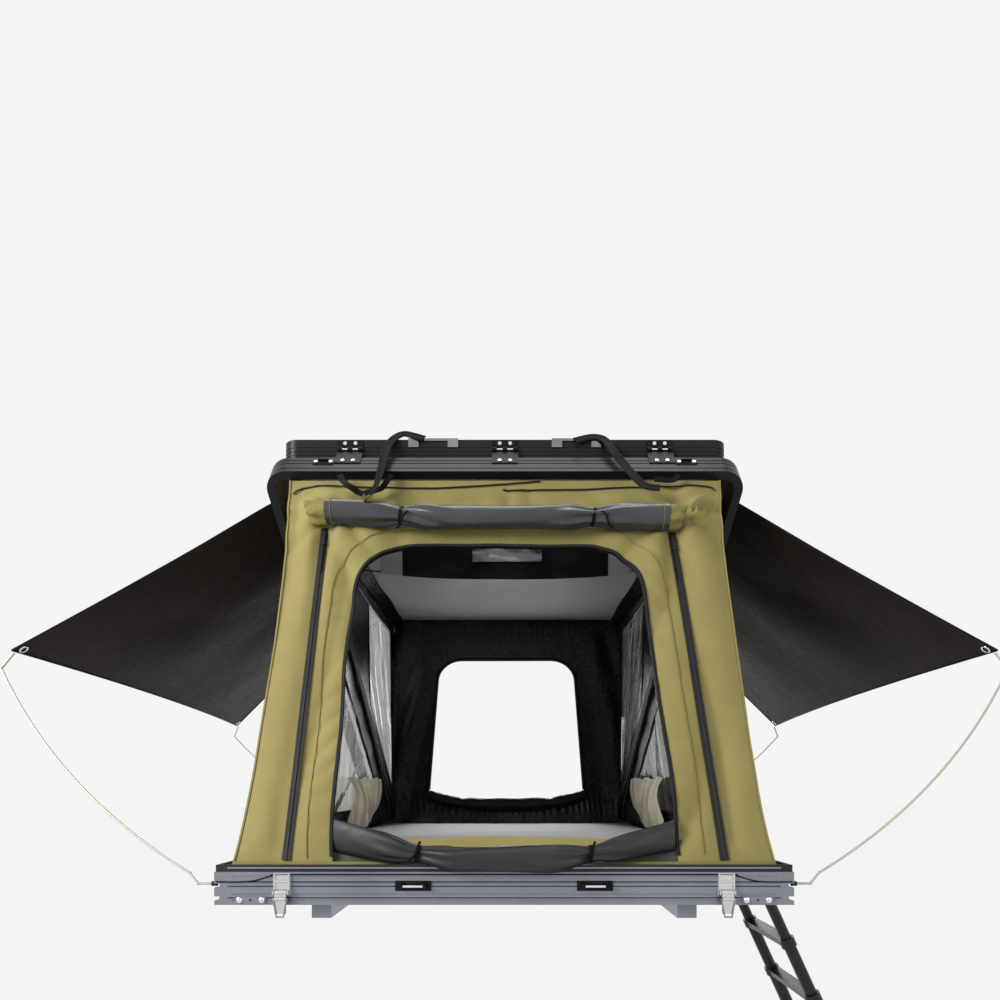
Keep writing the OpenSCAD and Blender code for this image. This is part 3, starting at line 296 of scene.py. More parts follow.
# Mesh helpers
SHARP_ANGLE = radians(50)


def mix(a, b, t):
    return a + (b - a) * t


def clamp(value):
    return min(1.0, max(0.0, value))


def steps(a, b, count):
    """Evenly spread values from a to b, both included."""
    return [mix(a, b, k / count) for k in range(count + 1)]


def full_turn(count):
    """Angles of a full turn, with the first again at the end."""
    return steps(0.0, 2 * pi, count)


def hill(x, centre, width):
    return exp(-((x - centre) / width) ** 2)


def rough(x, y, z, seed=0.0):
    """Smooth noise between about -1 and 1."""
    return noise.noise(Vector((x + seed, y - seed * 0.7, z + seed * 1.3)))


def crease(turn):
    """A rounded fold with narrow valleys, from about 0 to 1."""
    return 1.25 * ((sin(turn) ** 2 + 0.02) ** 0.25 - 0.2)


def arc(centre, radius, start, end, count):
    """Points on an arc between two angles in degrees."""
    turns = [radians(a) for a in steps(start, end, count)]
    return [(centre[0] + radius * cos(a), centre[1] + radius * sin(a)) for a in turns]


def folding(axis, anchor):
    """A step for soft pieces, which gives each piece its own copy of its mesh."""
    def fold(obj):
        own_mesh(obj)
        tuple(axis)
        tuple(anchor)
    return fold


def make(name, verts, faces, material, body, slot=None, soft=None):
    """A smooth mesh on a body, which runs its soft step if it has one. The slot is not used."""
    mesh = bpy.data.meshes.new(name)
    mesh.from_pydata([tuple(v) for v in verts], [], faces)
    mesh.validate()
    bm = bmesh.new()
    bm.from_mesh(mesh)
    bmesh.ops.recalc_face_normals(bm, faces=bm.faces)
    bm.to_mesh(mesh)
    bm.free()
    mesh.materials.append(material)
    mesh.polygons.foreach_set("use_smooth", [True] * len(mesh.polygons))
    mesh.set_sharp_from_angle(angle=SHARP_ANGLE)
    obj = bpy.data.objects.new(name, mesh)
    bpy.context.collection.objects.link(obj)
    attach(obj, body)
    if soft:
        soft(obj)
    return obj


def grid_faces(nu, nv, close_u=False):
    rows = nu if close_u else nu - 1
    return [(i * nv + j, (i + 1) % nu * nv + j, (i + 1) % nu * nv + j + 1, i * nv + j + 1)
            for i in range(rows) for j in range(nv - 1)]


def ring_faces(rings, sides):
    """Faces between rings of points, and the caps at both ends."""
    faces = [(i * sides + k, i * sides + (k + 1) % sides, (i + 1) * sides + (k + 1) % sides,
              (i + 1) * sides + k) for i in range(rings - 1) for k in range(sides)]
    return faces + [tuple(reversed(range(sides))), tuple((rings - 1) * sides + k for k in range(sides))]


def thick_grid(name, nu, nv, point, depths, material, close_u=False, **kind):
    """Closed sheet between a front and a back depth. Point takes u and v from 0 to 1 and a depth."""
    last = nu if close_u else nu - 1
    verts = [point(i / last, j / (nv - 1), d) for d in depths for i in range(nu) for j in range(nv)]
    shift = nu * nv
    faces = grid_faces(nu, nv, close_u)
    faces += [tuple(shift + k for k in reversed(f)) for f in faces]
    rim = []
    for a in range(last):
        b = (a + 1) % nu
        rim += [(a * nv, b * nv), (b * nv + nv - 1, a * nv + nv - 1)]
    if not close_u:
        for j in range(nv - 1):
            rim += [(j + 1, j), ((nu - 1) * nv + j, (nu - 1) * nv + j + 1)]
    faces += [(b, a, shift + a, shift + b) for a, b in rim]
    return make(name, verts, faces, material, **kind)


def beside(points, i):
    """The points before and after one on a path. At an end, the end itself is one of them."""
    return points[max(i - 1, 0)], points[min(i + 1, len(points) - 1)]


def direction(points, i):
    a, b = beside(points, i)
    return (b - a).normalized()


def path_frames(points):
    """Side and normal vectors along a path, carried along without twist."""
    tangents = [direction(points, i) for i in range(len(points))]
    guess = Vector((0, 0, 1)) if abs(tangents[0].z) < 0.9 else Vector((1, 0, 0))
    normal = tangents[0].cross(guess).normalized()
    frames = []
    for tangent in tangents:
        normal = (normal - tangent * normal.dot(tangent)).normalized()
        frames.append((normal, tangent.cross(normal)))
    return frames


def smooth_path(points, per=8):
    """Points on a smooth curve through the given ones."""
    points = [Vector(p) for p in points]
    out = []
    for i in range(len(points) - 1):
        p0, p1 = points[max(i - 1, 0)], points[i]
        p2, p3 = points[i + 1], points[min(i + 2, len(points) - 1)]
        for k in range(per):
            t = k / per
            out.append(0.5 * (2 * p1 + (p2 - p0) * t + (2 * p0 - 5 * p1 + 4 * p2 - p3) * t * t
                              + (3 * p1 - p0 - 3 * p2 + p3) * t ** 3))
    out.append(points[-1])
    return out


def tube(name, points, radius, material, sides=10, **kind):
    """Round cord along a path, with capped ends."""
    points = [Vector(p) for p in points]
    verts, count = [], len(points)
    for i, (p, (n, b)) in enumerate(zip(points, path_frames(points))):
        r = radius(i / (count - 1)) if callable(radius) else radius
        for k in range(sides):
            a = 2 * pi * k / sides
            verts.append(p + n * (r * cos(a)) + b * (r * sin(a)))
    return make(name, verts, ring_faces(count, sides), material, **kind)


def ribbon(name, points, normals, width, thickness, material, **kind):
    """Flat band along a path. Its broad face looks along the normals."""
    points = [Vector(p) for p in points]
    verts = []
    for i, p in enumerate(points):
        normal = Vector(normals[i] if isinstance(normals, list) else normals).normalized()
        side = direction(points, i).cross(normal).normalized() * (width / 2)
        lift = normal * thickness
        verts += [p - side, p + side, p + side * 0.96 + lift, p - side * 0.96 + lift]
    return make(name, verts, ring_faces(len(points), 4), material, **kind)


def ray_hit(outline, centre, angle):
    """How far a ray from the centre runs before it leaves a closed outline."""
    dx, ds = cos(angle), sin(angle)
    best = 0.0
    for (ax, ay), (bx, by) in zip(outline, outline[1:] + outline[:1]):
        ex, ey = bx - ax, by - ay
        det = dx * -ey + ex * ds
        if abs(det) < 1e-12:
            continue
        rx, ry = ax - centre[0], ay - centre[1]
        t = (rx * -ey + ex * ry) / det
        k = (dx * ry - ds * rx) / det
        if t > 0 and -1e-9 <= k <= 1 + 1e-9:
            best = max(best, t)
    return best


def framed_sheet(name, wall, inner, outer, centre, relief, depths, material, around, across, **kind):
    """A sheet between an outline and a hole in it, as a closed thin solid with relief."""
    angles = [2 * pi * k / around for k in range(around)]
    angles += [atan2(s - centre[1], x - centre[0]) % (2 * pi) for x, s in outer]
    rings = []
    for a in sorted(set(round(a, 6) for a in angles)):
        reach = steps(ray_hit(inner, centre, a), ray_hit(outer, centre, a), across - 1)
        rings.append([(centre[0] + cos(a) * r, centre[1] + sin(a) * r) for r in reach])
    count = len(rings)

    def at(u, v, d):
        x, s = rings[round(u * count) % count][round(v * (across - 1))]
        return wall.point(x, s, d + relief(x, s))

    return thick_grid(name, count, across, at, depths, material, close_u=True, **kind)


def lined_wall(name, node, wall, hole, outline, centre, relief, depths, around, across, **kind):
    """Olive canvas with a dark lining inside it. Depths are the faces of the one and the other."""
    shape = (wall, hole, outline, centre, relief)
    canvas = framed_sheet(name + "_canvas", *shape, depths[0], OLIVE, around, across,
                          slot="olive_canvas", **kind)
    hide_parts(node)
    lining = framed_sheet(name + "_lining", *shape, depths[1], LINING, around, across,
                          slot="dark_cloth", **kind)
    return canvas, lining


# Near wall
WAIST = 0.021
ROLL_END_S = 1.13
ZIP_PIXELS = {"left": [(325.5, 530), (316, 610), (305, 702), (296, 780), (286.4, 860.5)],
              "right": [(671, 534), (686, 620), (702, 722), (714, 795), (724.3, 860.5)]}
DOOR_PIXELS = [(332.7, 857), (334.7, 804), (343, 722), (346, 662), (353, 611), (357, 584),
               (370.6, 563.5), (392, 551.5), (416, 546), (500, 543.5), (582, 544.5), (603, 549),
               (620, 556.6), (639, 578), (648, 623), (657.6, 692), (670, 773.5), (678, 855)]
HEAD_CORDS = {"left": [(294, 496), (301, 491), (318, 489), (420, 489.3), (470, 487), (500, 485),
                       (540, 482)],
              "right": [(503, 490), (520, 490.5), (600, 489.7), (669, 489.2), (706, 488), (714, 492)]}
soft_near = folding(NEAR.up, NEAR.anchor)
NEAR_DARK = {"body": "base", "slot": "dark_cloth", "soft": soft_near}


def waist(share):
    """How far the upright edges of the near wall are pulled in, by the share of its height."""
    return WAIST * (1 - abs(2 * share - 1) ** 4)


def near_half(s):
    share = s / NEAR.length
    return mix(FOOT_HALF, HEAD_HALF, share) - waist(share)


def near_line(pixels, per=10):
    """Points on the near wall, as x and distance up it, on a smooth curve through pixels."""
    places = [NEAR.from_pixel(px, py, WALL_T) for px, py in pixels]
    return [(p.x, p.y) for p in smooth_path([(x, s, 0) for x, s in places], per)]


ZIP_LINES = {side: near_line(pixels) for side, pixels in ZIP_PIXELS.items()}


def held_flat(x, s):
    """Share of the slack that is left beside a zip and behind the rolled door."""
    line = ZIP_LINES["left" if x < 0 else "right"]
    (top_x, top_s), (low_x, low_s) = line[0], line[-1]
    zip_x = low_x + (top_x - low_x) * (s - low_s) / (top_s - low_s)
    at_zip = hill(x, zip_x, 0.030) if s < top_s + 0.03 else 0.0
    at_roll = hill(s, ROLL_END_S, 0.05) * clamp((0.60 - abs(x)) / 0.08)
    return (1 - 0.9 * at_zip) * (1 - 0.85 * at_roll)


def near_relief(x, s):
    """Slack of the near wall: folds that run up the panels and fan out of the corners."""
    share = s / NEAR.length
    edge = min(1.0, share * 14) * min(1.0, (1 - share) * 12) * held_flat(x, s)
    side = abs(x) / near_half(s)
    drapes = crease(15 * abs(x) + 2.6 * s + 1.6 * rough(2 * x, s, 0, 1)) * hill(side, 0.88, 0.15)
    pulls = crease(13 * (abs(x) - 0.34 * s) + 2 * rough(3 * x, 2 * s, 0, 4)) * hill(side, 0.64, 0.20)
    dx, ds = abs(x) - 0.53, s - ROLL_END_S
    near_roll = exp(-(dx * dx + ds * ds) / 0.035)
    fan = crease(4 * atan2(ds, dx) + 1.5 * rough(4 * x, 4 * s, 0, 6)) * near_roll
    crown = crease(17 * x + 21 * s + 4 * rough(5 * x, 5 * s, 0, 7)) * hill(share, 0.93, 0.08)
    pucker = crease(38 * s + 16 * abs(x) + 3 * rough(6 * x, 5 * s, 0, 8)) * hill(side, 0.70, 0.10)
    broad = rough(2.2 * x, 1.3 * s, 0, 9)
    small = rough(11 * x, 7 * s, 0, 10)
    return edge * (0.024 * drapes + 0.020 * pulls + 0.022 * fan + 0.014 * crown + 0.005 * pucker
                   + 0.010 * broad + 0.003 * small - 0.018)


def on_near(line, d):
    """Points at a height above the near wall's canvas."""
    return [NEAR.point(x, s, WALL_T + near_relief(x, s) + d) for x, s in line]


def both_edges(half, length):
    """Outline of an end wall from its half width, up its left edge and down its right one."""
    heights = steps(0.0, length, 24)
    return [(-half(s), s) for s in heights] + [(half(s), s) for s in reversed(heights)]


NEAR_MID = (0, 0.52)
NEAR_DEPTHS = ((WALL_T, WALL_T - 0.0012), (WALL_T - 0.011, WALL_T - 0.012))
door_edge = near_line(DOOR_PIXELS, 6)
door_line = door_edge + [(door_edge[-1][0], HEM), (door_edge[0][0], HEM)]
near_outline = both_edges(near_half, NEAR.length)
near_wall, near_lining = lined_wall("near_wall", "near_wall", NEAR, door_line, near_outline, NEAR_MID,
                                    near_relief, NEAR_DEPTHS, 360, 36, body="base", soft=soft_near)


def near_band(name, line, width, thickness, material, lift=0.0024):
    ribbon(name, on_near(line, lift), NEAR.out, width, thickness, material, **NEAR_DARK)


def near_cord(name, line, radius, material, lift=0.0015):
    tube(name, on_near(line, lift + radius * 0.7), radius, material, **NEAR_DARK)


def outset(line, amount):
    """The line moved outwards from the doorway's middle by an amount."""
    out = []
    for i, (x, s) in enumerate(line):
        a, b = beside(line, i)
        dx, ds = b[0] - a[0], b[1] - a[1]
        size = hypot(dx, ds)
        out.append((x - ds / size * amount, s + dx / size * amount))
    return out


# Zips on both sides of the door, with their teeth, sliders and pulls
for side, line in ZIP_LINES.items():
    near_band("zip_tape_" + side, line, 0.024, 0.0012, ZIP, lift=0.0032)
    near_cord("zip_coil_" + side, line, 0.0020, PLASTIC, lift=0.0036)
    near_band("zip_slider_" + side, line[1:4], 0.012, 0.0070, PLASTIC, lift=0.0060)
    near_band("zip_pull_" + side, line[3:7], 0.007, 0.0020, PLASTIC, lift=0.0085)

# Piping round the doorway, and the seam outside it
near_band("door_binding", outset(door_edge, 0.002), 0.011, 0.0016, PIPING)
near_cord("door_piping", door_edge, 0.0026, PIPING, lift=0.0030)
near_cord("door_seam", outset(door_edge, 0.068), 0.0012, OLIVE_EDGE)

# Hem along the foot, elastic cords along the head and folds up the corners
foot_reach, foot_s = FOOT_HALF - 0.004, 0.012
near_band("foot_hem", [(x, foot_s) for x in steps(-foot_reach, foot_reach, 60)], 0.022, 0.0016, OLIVE_EDGE)
for side, pixels in HEAD_CORDS.items():
    near_cord("head_cord_" + side, near_line(pixels, 6), 0.0024, DARK_CLOTH, lift=0.0025)
for sign, side in SIDES:
    edge = [(sign * (near_half(s) - 0.002), s) for s in steps(0.0, NEAR.length, 50)]
    near_band("corner_fold_" + side, edge, 0.005, 0.0012, OLIVE)

# Rolled door over the doorway and rolled mesh at its foot
TIE_X, END_STITCH_X = 0.297, 0.508
DOOR_ROLL, MESH_ROLL = Vector((0, -0.7314, 1.180)), Vector((0, -1.062, 0.161))
DOOR_ROLL_R, DOOR_CLOTH_HALF, ROLL_SHIFT = 0.040, 0.526, -0.0225
ROLL_END_START, ROLL_END = 0.521, {"left": 0.584, "right": 0.572}
MESH_ROLL_R, MESH_ROLL_HALF, MESH_TIE_X, MESH_STRAIGHT = 0.035, 0.456, 0.225, 0.12
MESH_RISE = Vector((0, 0.062, 0.056))
MESH_CORNER_X, MESH_CORNER_S = (0.480, 0.22), (0.010, 0.085)
ROLL_RINGS, ROLL_SIDES = 260, 44
DOOR_TAIL = ((0, -0.031, 0.006), (0.012, -0.038, -0.012), (0.02, -0.034, -0.034), (0.034, -0.030, -0.046))
MESH_TAILS = (("a", (0.010, -0.030, 0.034)), ("b", (-0.020, -0.034, -0.016)))


def lowered(start, goal):
    """The soft step of a rolled flap, given its way down on to the tray or the mattress; the step only gives
    the flap its own mesh.
    """
    return folding(Vector((0, start.y - goal[0], start.z - goal[1])), (0, goal[0], goal[1]))


ON_DOOR_ROLL = {"body": "base", "soft": lowered(DOOR_ROLL, (-0.965, 0.166))}
ON_MESH_ROLL = {"body": "base", "soft": lowered(MESH_ROLL, (-1.0055, 0.1045))}


def tie_pinch(x, width, tie=TIE_X):
    return hill(abs(x), tie, width)


def roll(name, half, centre, radius, folds, material, shift=0.0, depth=lambda x: 1.0, **kind):
    """Rolled cloth along X. Folds is a function of x and the angle, in shares of the radius."""
    verts = []
    for x in steps(-half, half, ROLL_RINGS):
        middle, full, deep = centre(x), radius(x), depth(x)
        for a in full_turn(ROLL_SIDES)[:-1]:
            r = full * (1 + folds(x, a))
            verts.append((x + shift, middle.y + r * deep * cos(a), middle.z + r * sin(a)))
    return make(name, verts, ring_faces(ROLL_RINGS + 1, ROLL_SIDES), material, **kind)


def door_centre(x):
    return DOOR_ROLL + Vector((0, 0, 0.016 * clamp((-x - 0.22) / 0.30)))


def door_radius(x):
    ends = 0.10 * clamp((abs(x) - 0.25) / 0.2)
    return DOOR_ROLL_R * (0.87 + ends - 0.34 * tie_pinch(x, 0.055) + 0.05 * tie_pinch(x, 0.14))


def door_folds(x, a):
    pleats = 0.17 * tie_pinch(x, 0.10) * sin(6 * a + 9 * rough(3 * x, 0, 0, 2))
    wraps = 0.035 * sin(2 * a + 9 * x) + 0.05 * rough(4 * x, cos(a), sin(a), 3)
    return pleats + wraps


def mesh_end(x):
    """Share of the way from the middle of the mesh roll to its end, beyond the straight part."""
    return max(0.0, (abs(x) - MESH_STRAIGHT) / (MESH_ROLL_HALF - MESH_STRAIGHT))


def mesh_centre(x):
    return MESH_ROLL + MESH_RISE * mesh_end(x) ** 1.3


def mesh_radius(x):
    wing = max(0.0, (abs(x) - MESH_TIE_X) / (MESH_ROLL_HALF - MESH_TIE_X))
    return MESH_ROLL_R * (0.95 - 0.40 * tie_pinch(x, 0.055, MESH_TIE_X) + 0.30 * wing)


def mesh_depth(x):
    return 1.0 - 0.72 * mesh_end(x) ** 1.5


def mesh_folds(x, a):
    pleats = 0.16 * tie_pinch(x, 0.11, MESH_TIE_X) * sin(6 * a + 8 * rough(3 * x, 0, 0, 12))
    return pleats + 0.05 * sin(2 * a - 12 * x) + 0.08 * rough(5 * x, cos(a), sin(a), 13)


def roll_loop(name, centre, radius, sway, count, width, thickness, material, kind):
    """Band round a roll. Radius is a function of the angle, and sway is how far it leans along X."""
    loop = [centre + Vector((sway * sin(a), radius(a) * cos(a), radius(a) * sin(a)))
            for a in full_turn(count)]
    normals = [Vector((0, p.y - centre.y, p.z - centre.z)) for p in loop]
    ribbon(name, loop, normals, width, thickness, material, **kind)


door_roll = roll("door_roll_cloth", DOOR_CLOTH_HALF, door_centre, door_radius, door_folds, SATIN,
                 ROLL_SHIFT, **ON_DOOR_ROLL)
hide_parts("door_roll")
for sign, side in SIDES:
    end_centre = door_centre(sign * DOOR_CLOTH_HALF)

    def end_point(v, u, inset):
        a = 2 * pi * v
        ruffle = rough(2 * cos(a), 2 * sin(a), 3 * u, 8)
        crumple = 0.20 * u * cos(5 * a + 1.2) + 0.22 * u * ruffle
        r = door_radius(0.52) * (0.92 - 0.28 * u ** 3 + crumple - inset)
        tuck = 0.012 * rough(2 * cos(a), 2 * sin(a), 0, 15) * u
        x = sign * (mix(ROLL_END_START, ROLL_END[side], u) + tuck) + ROLL_SHIFT
        return Vector((x, end_centre.y + r * cos(a), end_centre.z + r * sin(a)))

    thick_grid("door_roll_end_" + side, 48, 10, end_point, (0.0, 0.08), OLIVE_EDGE, close_u=True,
               slot="olive_canvas", **ON_DOOR_ROLL)
    at_tie = door_centre(sign * TIE_X) + Vector((sign * TIE_X + ROLL_SHIFT, 0, 0))
    roll_loop("door_roll_tie_" + side, at_tie, lambda a: door_radius(TIE_X) * 1.06 + 0.0008, 0.004, 60,
              0.010, 0.0014, WEBBING, ON_DOOR_ROLL)
    at_end = door_centre(sign * END_STITCH_X) + Vector((sign * END_STITCH_X + ROLL_SHIFT, 0, 0))
    roll_loop("door_roll_end_stitch_" + side, at_end,
              lambda a: door_radius(END_STITCH_X) * (1.0 + door_folds(sign * END_STITCH_X, a)) + 0.0008,
              0.0, 60, 0.0016, 0.0014, OLIVE_EDGE, ON_DOOR_ROLL)
    tail = [DOOR_ROLL + Vector((sign * (TIE_X + dx), dy, dz)) for dx, dy, dz in DOOR_TAIL]
    tube("door_roll_tail_" + side, smooth_path(tail, 5), 0.0032, WEBBING, **ON_DOOR_ROLL)

mesh_roll = roll("mesh_roll_cloth", MESH_ROLL_HALF, mesh_centre, mesh_radius, mesh_folds, CHARCOAL,
                 depth=mesh_depth, **ON_MESH_ROLL)
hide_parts("mesh_roll")
for sign, side in SIDES:
    tie_x = sign * MESH_TIE_X
    at_tie, tie_r = mesh_centre(tie_x) + Vector((tie_x, 0, 0)), mesh_radius(tie_x) * 1.10
    loop = [at_tie + Vector((0.003 * sin(a), tie_r * cos(a), tie_r * sin(a))) for a in full_turn(36)]
    ribbon("mesh_roll_tie_" + side, loop, [p - at_tie for p in loop], 0.012, 0.0018, WEBBING,
           **ON_MESH_ROLL)
    knot = at_tie + Vector((0, -tie_r, 0.004))
    for end, drop in MESH_TAILS:
        bend = knot + Vector((0.6 * drop[0], -0.006, 0.7 * drop[2]))
        tube(f"mesh_roll_tail_{end}_{side}", smooth_path([knot, bend, at_tie + Vector(drop)], 5),
             0.0030, WEBBING, sides=8, **ON_MESH_ROLL)
    verts = []
    for a in steps(0.0, 1.0, 12):
        for b in steps(0.0, 1.0, 12):
            x, s = sign * mix(*MESH_CORNER_X, b), mix(*MESH_CORNER_S, a * (1 - b))
            verts.append(NEAR.point(x, s, -0.004 + 0.004 * rough(20 * x, 20 * s, 0)))
    make("mesh_corner_" + side, verts, grid_faces(13, 13), MESH_CLOTH, **NEAR_DARK)

# Webbing loops that hold the door roll up
ROLL_LOOPS = {"left_a": [(342, 482), (346, 490), (353, 498), (366, 503)],
              "left_b": [(392, 481), (388, 491), (381, 498), (367, 503)],
              "right_a": [(676, 482), (672, 487), (664, 489), (652, 488)]}
for label, pixels in ROLL_LOOPS.items():
    near_band("roll_loop_" + label, near_line(pixels), 0.020, 0.0015, WEBBING, lift=0.030)

# Olive strip of the door's foot, folded inwards over the edge of the mattress
SILL_HALF = 0.40
SILL_ROWS = [(-0.006, 0.040), (-0.014, 0.072), (-0.024, 0.086), (-0.044, 0.086), (-0.060, 0.076)]


def sill_point(u, v, lift):
    x = mix(-SILL_HALF, SILL_HALF, u)
    k = v * (len(SILL_ROWS) - 1)
    i = min(int(k), len(SILL_ROWS) - 2)
    d, s = [mix(a, b, k - i) for a, b in zip(SILL_ROWS[i], SILL_ROWS[i + 1])]
    arch = 0.014 * (1 - (x / SILL_HALF) ** 2) - 0.004
    return NEAR.point(x, s + lift + arch + 0.003 * rough(7 * x, 3 * v, 0, 5) * v, d)


sill = thick_grid("door_sill_flap", 60, 13, sill_point, (0.0016, 0.0), OLIVE, body="base",
                  slot="olive_canvas", soft=soft_near)

# The side fabric is drawn in along a line beside the middle frame's arms
ARM_LOW, ARM_HIGH = ((1.0215, 0.163), (-0.6397, 1.2999)), ((1.0215, 0.166), (-0.6397, 1.3029))
ARM_SLOPE = (ARM_LOW[1][1] - ARM_LOW[0][1]) / (ARM_LOW[1][0] - ARM_LOW[0][0])
DRAW_IN = 0.074


def arm_z(y):
    return max(ARM_LOW[0][1] + (y - ARM_LOW[0][0]) * ARM_SLOPE, ARM_LOW[0][1])


def near_y(z):
    return NEAR_FOOT[0] + (z - NEAR_FOOT[1]) * NEAR.up.y / NEAR.up.z


def drawn_in(y, z):
    """How far the side fabric lies inside its upright plane, as a negative number."""
    line = min(arm_z(y), LID_LOW - 0.05)
    share = (z - TRAY_TOP) / (line - TRAY_TOP) if z < line else (LID_LOW - z) / (LID_LOW - line)
    free = clamp((y - near_y(z)) / 0.45)
    up = clamp((z - NEAR_FOOT[1]) / (NEAR.length * NEAR.up.z))
    pulled = waist(up) * clamp(1 - (y - near_y(z)) / 0.5)
    return -DRAW_IN * clamp(share) ** 1.4 * free * free * (3 - 2 * free) - pulled


# Far wall and its window
FAR_MID = (0, 0.62)
FAR_DEPTHS = ((0.0, -0.0012), (-0.0075, -0.0085))
WINDOW_EXTRA, WINDOW_TOP_R, WINDOW_FOOT_R = 0.034, 0.15, 0.03
WINDOW_TOP, WINDOW_LOW = (DOOR_H + WINDOW_EXTRA) / FAR.up.z, SILL_H / FAR.up.z
WINDOW_RIMS = (("far_window_piping", 0.002, 0.006, PIPING),
               ("far_window_binding", -0.005, 0.011, DARK_CLOTH))
FLAP_HALF = 0.45
soft_far = folding(FAR.up, FAR.anchor)
FAR_DARK = {"body": "base", "slot": "dark_cloth", "soft": soft_far}


def window_outline():
    """Closed outline of the far window, from its lower left corner up and round."""
    foot_x, foot_s = DOOR_FOOT_HALF - WINDOW_FOOT_R, WINDOW_LOW + WINDOW_FOOT_R
    head_x, head_s = DOOR_HEAD_HALF - WINDOW_TOP_R, WINDOW_TOP - WINDOW_TOP_R
    corners = [((-foot_x, foot_s), WINDOW_FOOT_R, 270), ((-head_x, head_s), WINDOW_TOP_R, 180),
               ((head_x, head_s), WINDOW_TOP_R, 90), ((foot_x, foot_s), WINDOW_FOOT_R, 0)]
    return [point for centre, r, turn in corners for point in arc(centre, r, turn, turn - 90, 12)]


def far_half(s):
    place = FAR.point(0, s)
    return SIDE_X - 0.003 + drawn_in(place.y, place.z)


def far_relief(x, s):
    share = s / FAR.length
    edge = min(1.0, share * 9) * min(1.0, (1 - share) * 9)
    side = abs(x) / far_half(s)
    gather = hill(share, 0.93, 0.035) + hill(share, 0.085, 0.04)
    gathers = 0.0050 * sin(170 * x + 7 * rough(4 * x, 2 * s, 0, 3)) * gather
    folds = 0.018 * sin(24 * abs(x) + 5 * s + 3 * rough(2 * x, s, 0, 21)) * hill(side, 0.86, 0.16)
    return edge * (gathers + folds + 0.008 * rough(2.5 * x, 1.6 * s, 0, 17))


def flap_roll(x):
    """Middle of the rolled window flap, which lies below the window inside."""
    rise = 0.062 * abs(x / FLAP_HALF) ** 3 + 0.003 * rough(9 * x, 0, 0, 31)
    return FAR.point(x, WINDOW_LOW - 0.038 + rise, -0.040)


def flap_roll_radius(t):
    out = abs(2 * t - 1)
    return 0.038 - 0.010 * hill(out, 0.55, 0.06) - 0.010 * out ** 2 + 0.0015 * sin(31 * t)


far_outline = both_edges(far_half, FAR.length)
window_line = window_outline()
far_canvas, far_lining = lined_wall("far_wall", "far_wall", FAR, window_line, far_outline, FAR_MID,
                                    far_relief, FAR_DEPTHS, 520, 30, body="base", soft=soft_far)
for name, depth, radius, material in WINDOW_RIMS:
    rim = [FAR.point(x, s, depth + far_relief(x, s)) for x, s in window_line + window_line[:1]]
    tube(name, rim, radius, material, **FAR_DARK)
tube("far_window_flap", [flap_roll(x) for x in steps(-FLAP_HALF, FLAP_HALF, 60)], flap_roll_radius,
     DARK_CLOTH, sides=20, **FAR_DARK)


# Side walls, in the halves below and above the middle frame
class Side:
    """An upright side wall: points are given as y, z and distance out of it."""

    def __init__(self, sign):
        self.sign = sign

    def point(self, y, z, d=0.0):
        half = near_half((z - NEAR_FOOT[1]) / NEAR.up.z)
        drawn = hill(y, near_y(z), 0.10) * (half - 0.0035 - SIDE_X)
        return Vector((self.sign * (SIDE_X + drawn + drawn_in(y, z) + d), y, z))


def rounded(points, radius, count=8):
    """Closed outline of a polygon with rounded corners."""
    points = [Vector(p) for p in points]
    out = []
    for i, p in enumerate(points):
        a = (points[i - 1] - p).normalized()
        b = (points[(i + 1) % len(points)] - p).normalized()
        reach = radius / tan(a.angle(b) / 2)
        out += [tuple(p + a * (reach * (1 - t) ** 2) + b * (reach * t ** 2)) for t in steps(0.0, 1.0, count)]
    return out


def small_hole(centre):
    return [(centre[0] + 0.002 * cos(k), centre[1] + 0.002 * sin(k)) for k in range(6)]


def side_relief(y, z):
    folds = sin(19 * (y - 0.45 * z) + 3 * rough(1.5 * y, 1.5 * z, 0, 41))
    return 0.002 * folds + 0.002 * rough(2.5 * y, 2.5 * z, 0, 43)


def film_relief(y, z):
    streaks = crease(13 * y + 3 * z + 4 * rough(2 * y, 1.2 * z, 0, 47))
    return 0.007 * streaks + 0.005 * rough(4 * y, 2 * z, 0, 49) + 0.002 * rough(9 * y, 3 * z, 0, 50)


soft_lower = folding(UP, (0, 0, TRAY_TOP))
soft_upper = folding(UP, (0, 0, LID_LOW))
LOWER_WALL = [(-1.014, TRAY_TOP), (1.008, TRAY_TOP), *ARM_LOW]
UPPER_WALL = [ARM_HIGH[1], ARM_HIGH[0], (1.4423, 1.4163), (-0.5882, 1.4163)]
LOWER_WINDOW = rounded([(-0.42, 0.235), (0.80, 0.235), (-0.30, 0.93)], 0.05)
UPPER_WINDOW = rounded([(0.44, 0.74), (1.02, 0.32), (1.32, 1.30), (0.64, 1.30)], 0.04)
HALVES = (("lower", "base", LOWER_WALL, LOWER_WINDOW, (0.0, 0.42), soft_lower),
          ("upper", "lid", UPPER_WALL, UPPER_WINDOW, (0.90, 1.05), soft_upper))
SIDE_DEPTHS, PANE_DEPTHS = ((0.0012, 0.0), (-0.0025, -0.0035)), (-0.0040, -0.0048)
STRIP_Y, CORD_Y, CORD_Z = (-0.50, 0.975), (0.36, 1.18), (1.285, 1.262)
FLAP_WIDTH, FLAP_TOP, FLAP_LOW = (0.06, 0.58), 0.385, 0.150
LOWER_DARK = {"body": "base", "slot": "dark_cloth", "soft": soft_lower}
side_cloths = []
